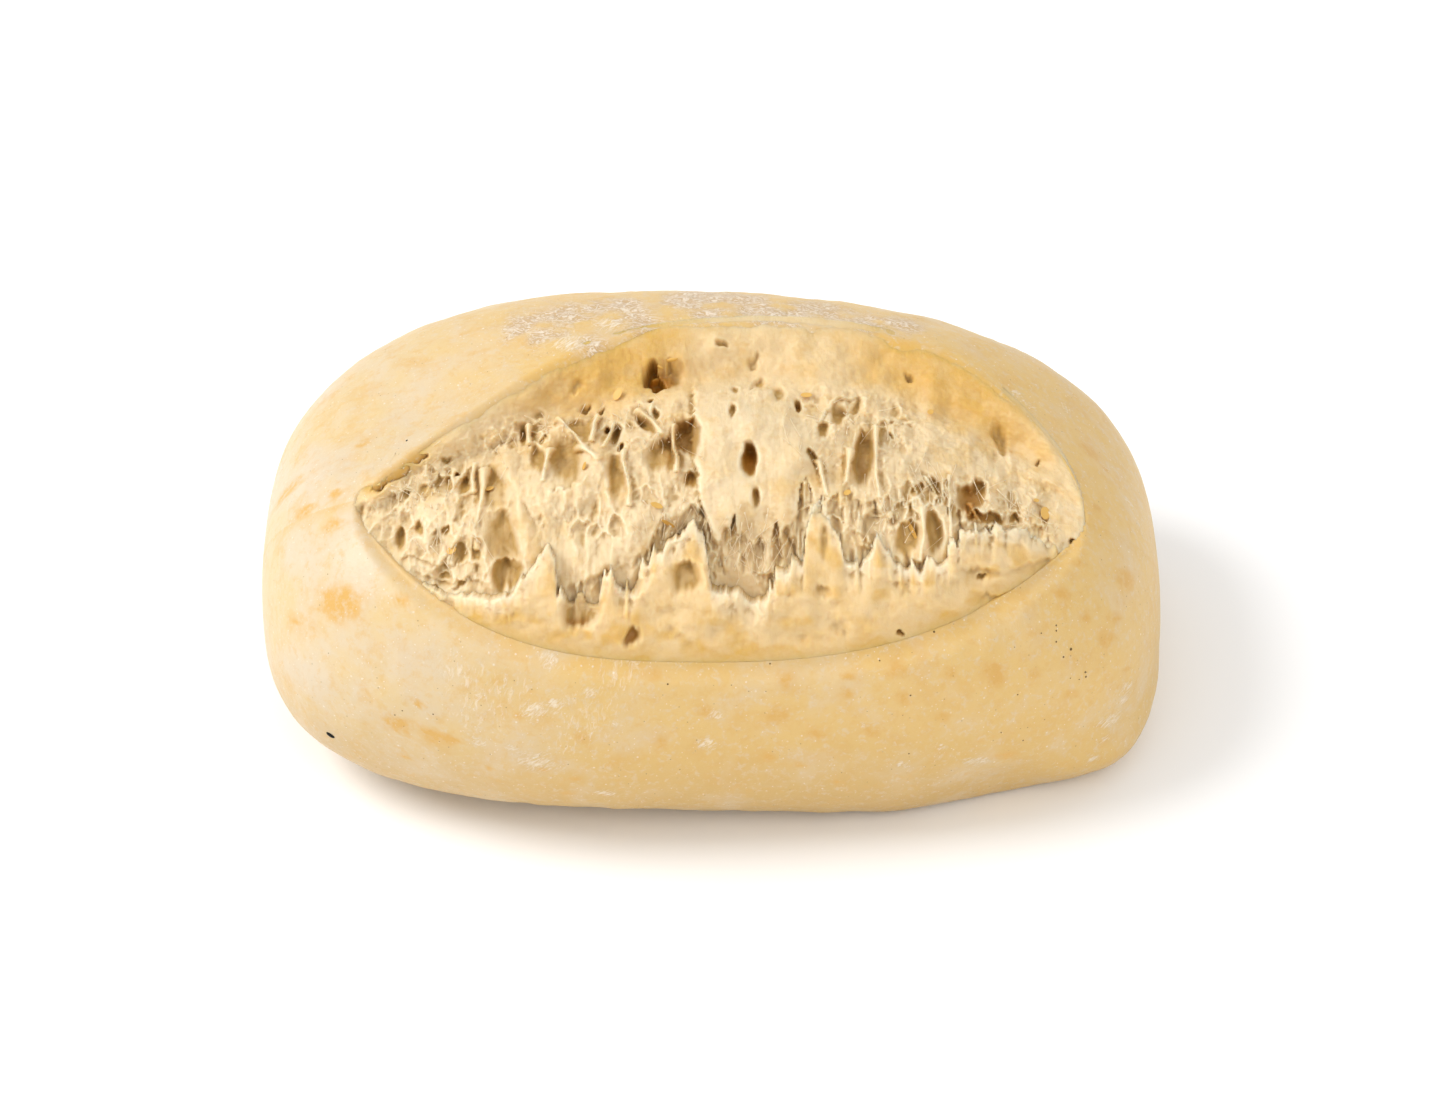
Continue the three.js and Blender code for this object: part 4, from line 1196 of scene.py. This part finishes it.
def beads(middles, along, up, half_sizes, bend):
    """Small closed bodies, one for each middle: rings round an oval, flat at the rim, bent like a bowl.
    along and up are unit vectors; half_sizes are length, width and height."""
    side = np.cross(up, along)
    level = np.linspace(-1, 1, BEAD_RINGS + 2)[1:-1]
    turn = np.linspace(0, 2 * math.pi, BEAD_SIDES, endpoint=False)
    level, turn = np.meshgrid(level, turn, indexing="ij")
    reach = np.sqrt(1 - level**2)
    shape = np.stack([reach * np.cos(turn), reach * np.sin(turn), level], axis=-1).reshape(-1, 3)
    shape = np.concatenate([shape, [(0, 0, -1), (0, 0, 1)]])
    local = shape[None] * half_sizes[:, None, :]
    local[..., 2] += bend * (shape[None, :, 0] ** 2 + shape[None, :, 1] ** 2)
    axes = (along, side, up)
    points = middles[:, None, :] + sum(local[..., i, None] * axis[:, None, :] for i, axis in enumerate(axes))
    faces = repeated(closed_faces(BEAD_RINGS, BEAD_SIDES), len(shape), len(middles))
    return points.reshape(-1, 3), faces


def unit(vectors):
    """The vectors, each divided by its length."""
    return vectors / np.linalg.norm(vectors, axis=-1, keepdims=True)


def directions(surface, a, b, tilt):
    """Middles on a surface that is a function of a and b, with unit vectors along it, turned by tilt, and
    out of it."""
    step = 0.05
    middles = surface(a, b)
    first = unit(surface(a + step, b) - surface(a - step, b))
    second = surface(a, b + step) - surface(a, b - step)
    up = unit(np.cross(first, second))
    outward = middles - (0, 0, WIDEST_LEVEL)
    up = up * np.sign(np.sum(up * outward * (0, 1, 1), axis=-1, keepdims=True))
    side = np.cross(up, first)
    along = first * np.cos(tilt)[:, None] + side * np.sin(tilt)[:, None]
    return middles, along, up


def on_crust(x, around_roll):
    """A point on the crust from x and the distance round the roll."""
    angle = around_roll / SLASH_RADIUS
    return place(x, angle, crust_depth(x, angle))


def on_crumb(surface, grid_x, grid_v):
    """A function of x and v that gives points on the crumb."""

    def point(x, v):
        i = np.clip(np.searchsorted(grid_x.ravel(), x), 0, grid_x.size - 1)
        j = np.clip(np.searchsorted(grid_v.ravel(), v), 0, grid_v.size - 1)
        return crumb_place(x, v, surface[i, j])

    return point


def threads(seed, parts, surface):
    """Centre lines of thin fibres, most of them upright: each joins two points of a surface in a part of the
    crumb and bridges what lies between. Rows are fibres, columns are steps along them."""
    rng = np.random.default_rng(seed)
    ends = []
    for cx, cv, half_width, half_height, count in parts:
        start = rng.normal((cx, cv), (half_width / 2, half_height / 2), (count, 2))
        length = rng.uniform(1.2, 4.5, (count, 1))
        turn = rng.normal(0, 0.4, (count, 1))
        stop = start + length * np.concatenate([np.sin(turn), np.cos(turn)], axis=1)
        ends.append(np.concatenate([start, stop], axis=1))
    x0, v0, x1, v1 = np.concatenate(ends).T
    along = np.linspace(0, 1, THREAD_STEPS)
    bow = (along * (1 - along))[None, :, None] * rng.normal(0, 0.5, (len(x0), 1, 3))
    first, last = surface(x0, v0), surface(x1, v1)
    return mix(first[:, None, :], last[:, None, :], along[None, :, None]) + bow


def tubes(lines, radius):
    """Closed round tubes along lines, thin in the middle and wider at both ends."""
    count, steps, _ = lines.shape
    forward = unit(np.gradient(lines, axis=1))
    side = unit(np.cross(forward, (0.3, 1.0, 0.2)))
    up = np.cross(side, forward)
    along = np.linspace(-1, 1, steps)
    width = (radius[:, None] * (0.55 + 1.1 * along**4))[:, :, None, None]
    turn = np.linspace(0, 2 * math.pi, THREAD_SIDES, endpoint=False)[None, None, :, None]
    out = np.cos(turn) * side[:, :, None, :] + np.sin(turn) * up[:, :, None, :]
    rings = lines[:, :, None, :] + width * out
    points = np.concatenate([rings.reshape(count, -1, 3), lines[:, :1], lines[:, -1:]], axis=1)
    return points.reshape(-1, 3), repeated(closed_faces(steps, THREAD_SIDES), points.shape[1], count)


def scatter(name, surface, spots, material, bend):
    """A piece of small bodies on a surface. Each spot gives its place, half-length, half-width, half-height
    and tilt in degrees."""
    a, b, length, width, height, tilt = np.array(spots, dtype=float).T
    middles, along, up = directions(surface, a, b, np.radians(tilt))
    points, faces = beads(middles, along, up, np.stack([length, width, height], axis=-1), bend)
    return new_piece(name, points + SEAT, faces, material, {})


pricks = [(x, math.radians(degrees) * SLASH_RADIUS, r, r, PRICK_HEIGHT, 0) for x, degrees, r in PRICKS]
scatter("pin_pricks", on_crust, pricks, plain_material("pin_prick", PRICK, 0.8), 0)
specks = [(x, math.radians(degrees) * SLASH_RADIUS, *sizes) for x, degrees, *sizes in SPECKS]
scatter("black_specks", on_crust, specks, plain_material("black_speck", SPECK, 1.0), 0)
husk = plain_material("bran_husk", HUSK, 0.5)
crumb_point = on_crumb(blurred(crumb_depth, LEVEL_REACH) - LEVEL_RISE, crumb_x, crumb_v)
scatter("bran_husks", crumb_point, HUSKS, husk, HUSK_BOWL)
lines = threads(9, FIBRED, crumb_point)
thickness = np.random.default_rng(10).uniform(*THREAD_RADIUS, len(lines))
thread_points, thread_faces = tubes(lines, thickness)
fibre = plain_material("crumb_fibre", WEB, 0.5)
new_piece("crumb_fibres", thread_points + SEAT, thread_faces, fibre, {})

# Stage and camera


def area_light(name, place_at, size, power):
    """Round light that faces the roll; places in metres, power in watts."""
    light = bpy.data.lights.new(name, "AREA")
    light.shape = "DISK"
    light.size = size
    light.energy = power
    lamp = bpy.data.objects.new(name, light)
    lamp.location = place_at
    lamp.rotation_euler = (LIT_POINT - lamp.location).to_track_quat("-Z", "Y").to_euler()
    bpy.context.scene.collection.objects.link(lamp)


floor_mesh = bpy.data.meshes.new("floor")
corners = [(-FLOOR, -FLOOR, 0), (FLOOR, -FLOOR, 0), (FLOOR, FLOOR, 0), (-FLOOR, FLOOR, 0)]
floor_mesh.from_pydata(corners, [], [(0, 1, 2, 3)])
floor_mesh.materials.append(plain_material("white_floor", (0.95, 0.95, 0.95, 1), 0.9))
floor = bpy.data.objects.new("floor", floor_mesh)
bpy.context.scene.collection.objects.link(floor)

world = bpy.data.worlds.new("studio")
world.use_nodes = True
world.node_tree.nodes["Background"].inputs["Color"].default_value = (1, 1, 1, 1)
world.node_tree.nodes["Background"].inputs["Strength"].default_value = SKY
bpy.context.scene.world = world
area_light("left_window", **LEFT_WINDOW)
area_light("front_fill", **FRONT_FILL)

camera_data = bpy.data.cameras.new("camera")
camera_data.sensor_width = SENSOR_WIDTH
camera_data.lens = CAMERA_LENS
camera_data.clip_end = 20
camera = bpy.data.objects.new("camera", camera_data)
aim = Vector(PICTURE_MIDDLE) * MM
towards = Vector((0, -math.cos(CAMERA_ELEVATION), math.sin(CAMERA_ELEVATION)))
camera.location = aim + CAMERA_DISTANCE * towards
camera.rotation_euler = (aim - camera.location).to_track_quat("-Z", "Y").to_euler()
bpy.context.scene.collection.objects.link(camera)
bpy.context.scene.camera = camera
bpy.context.scene.view_settings.view_transform = "Standard"
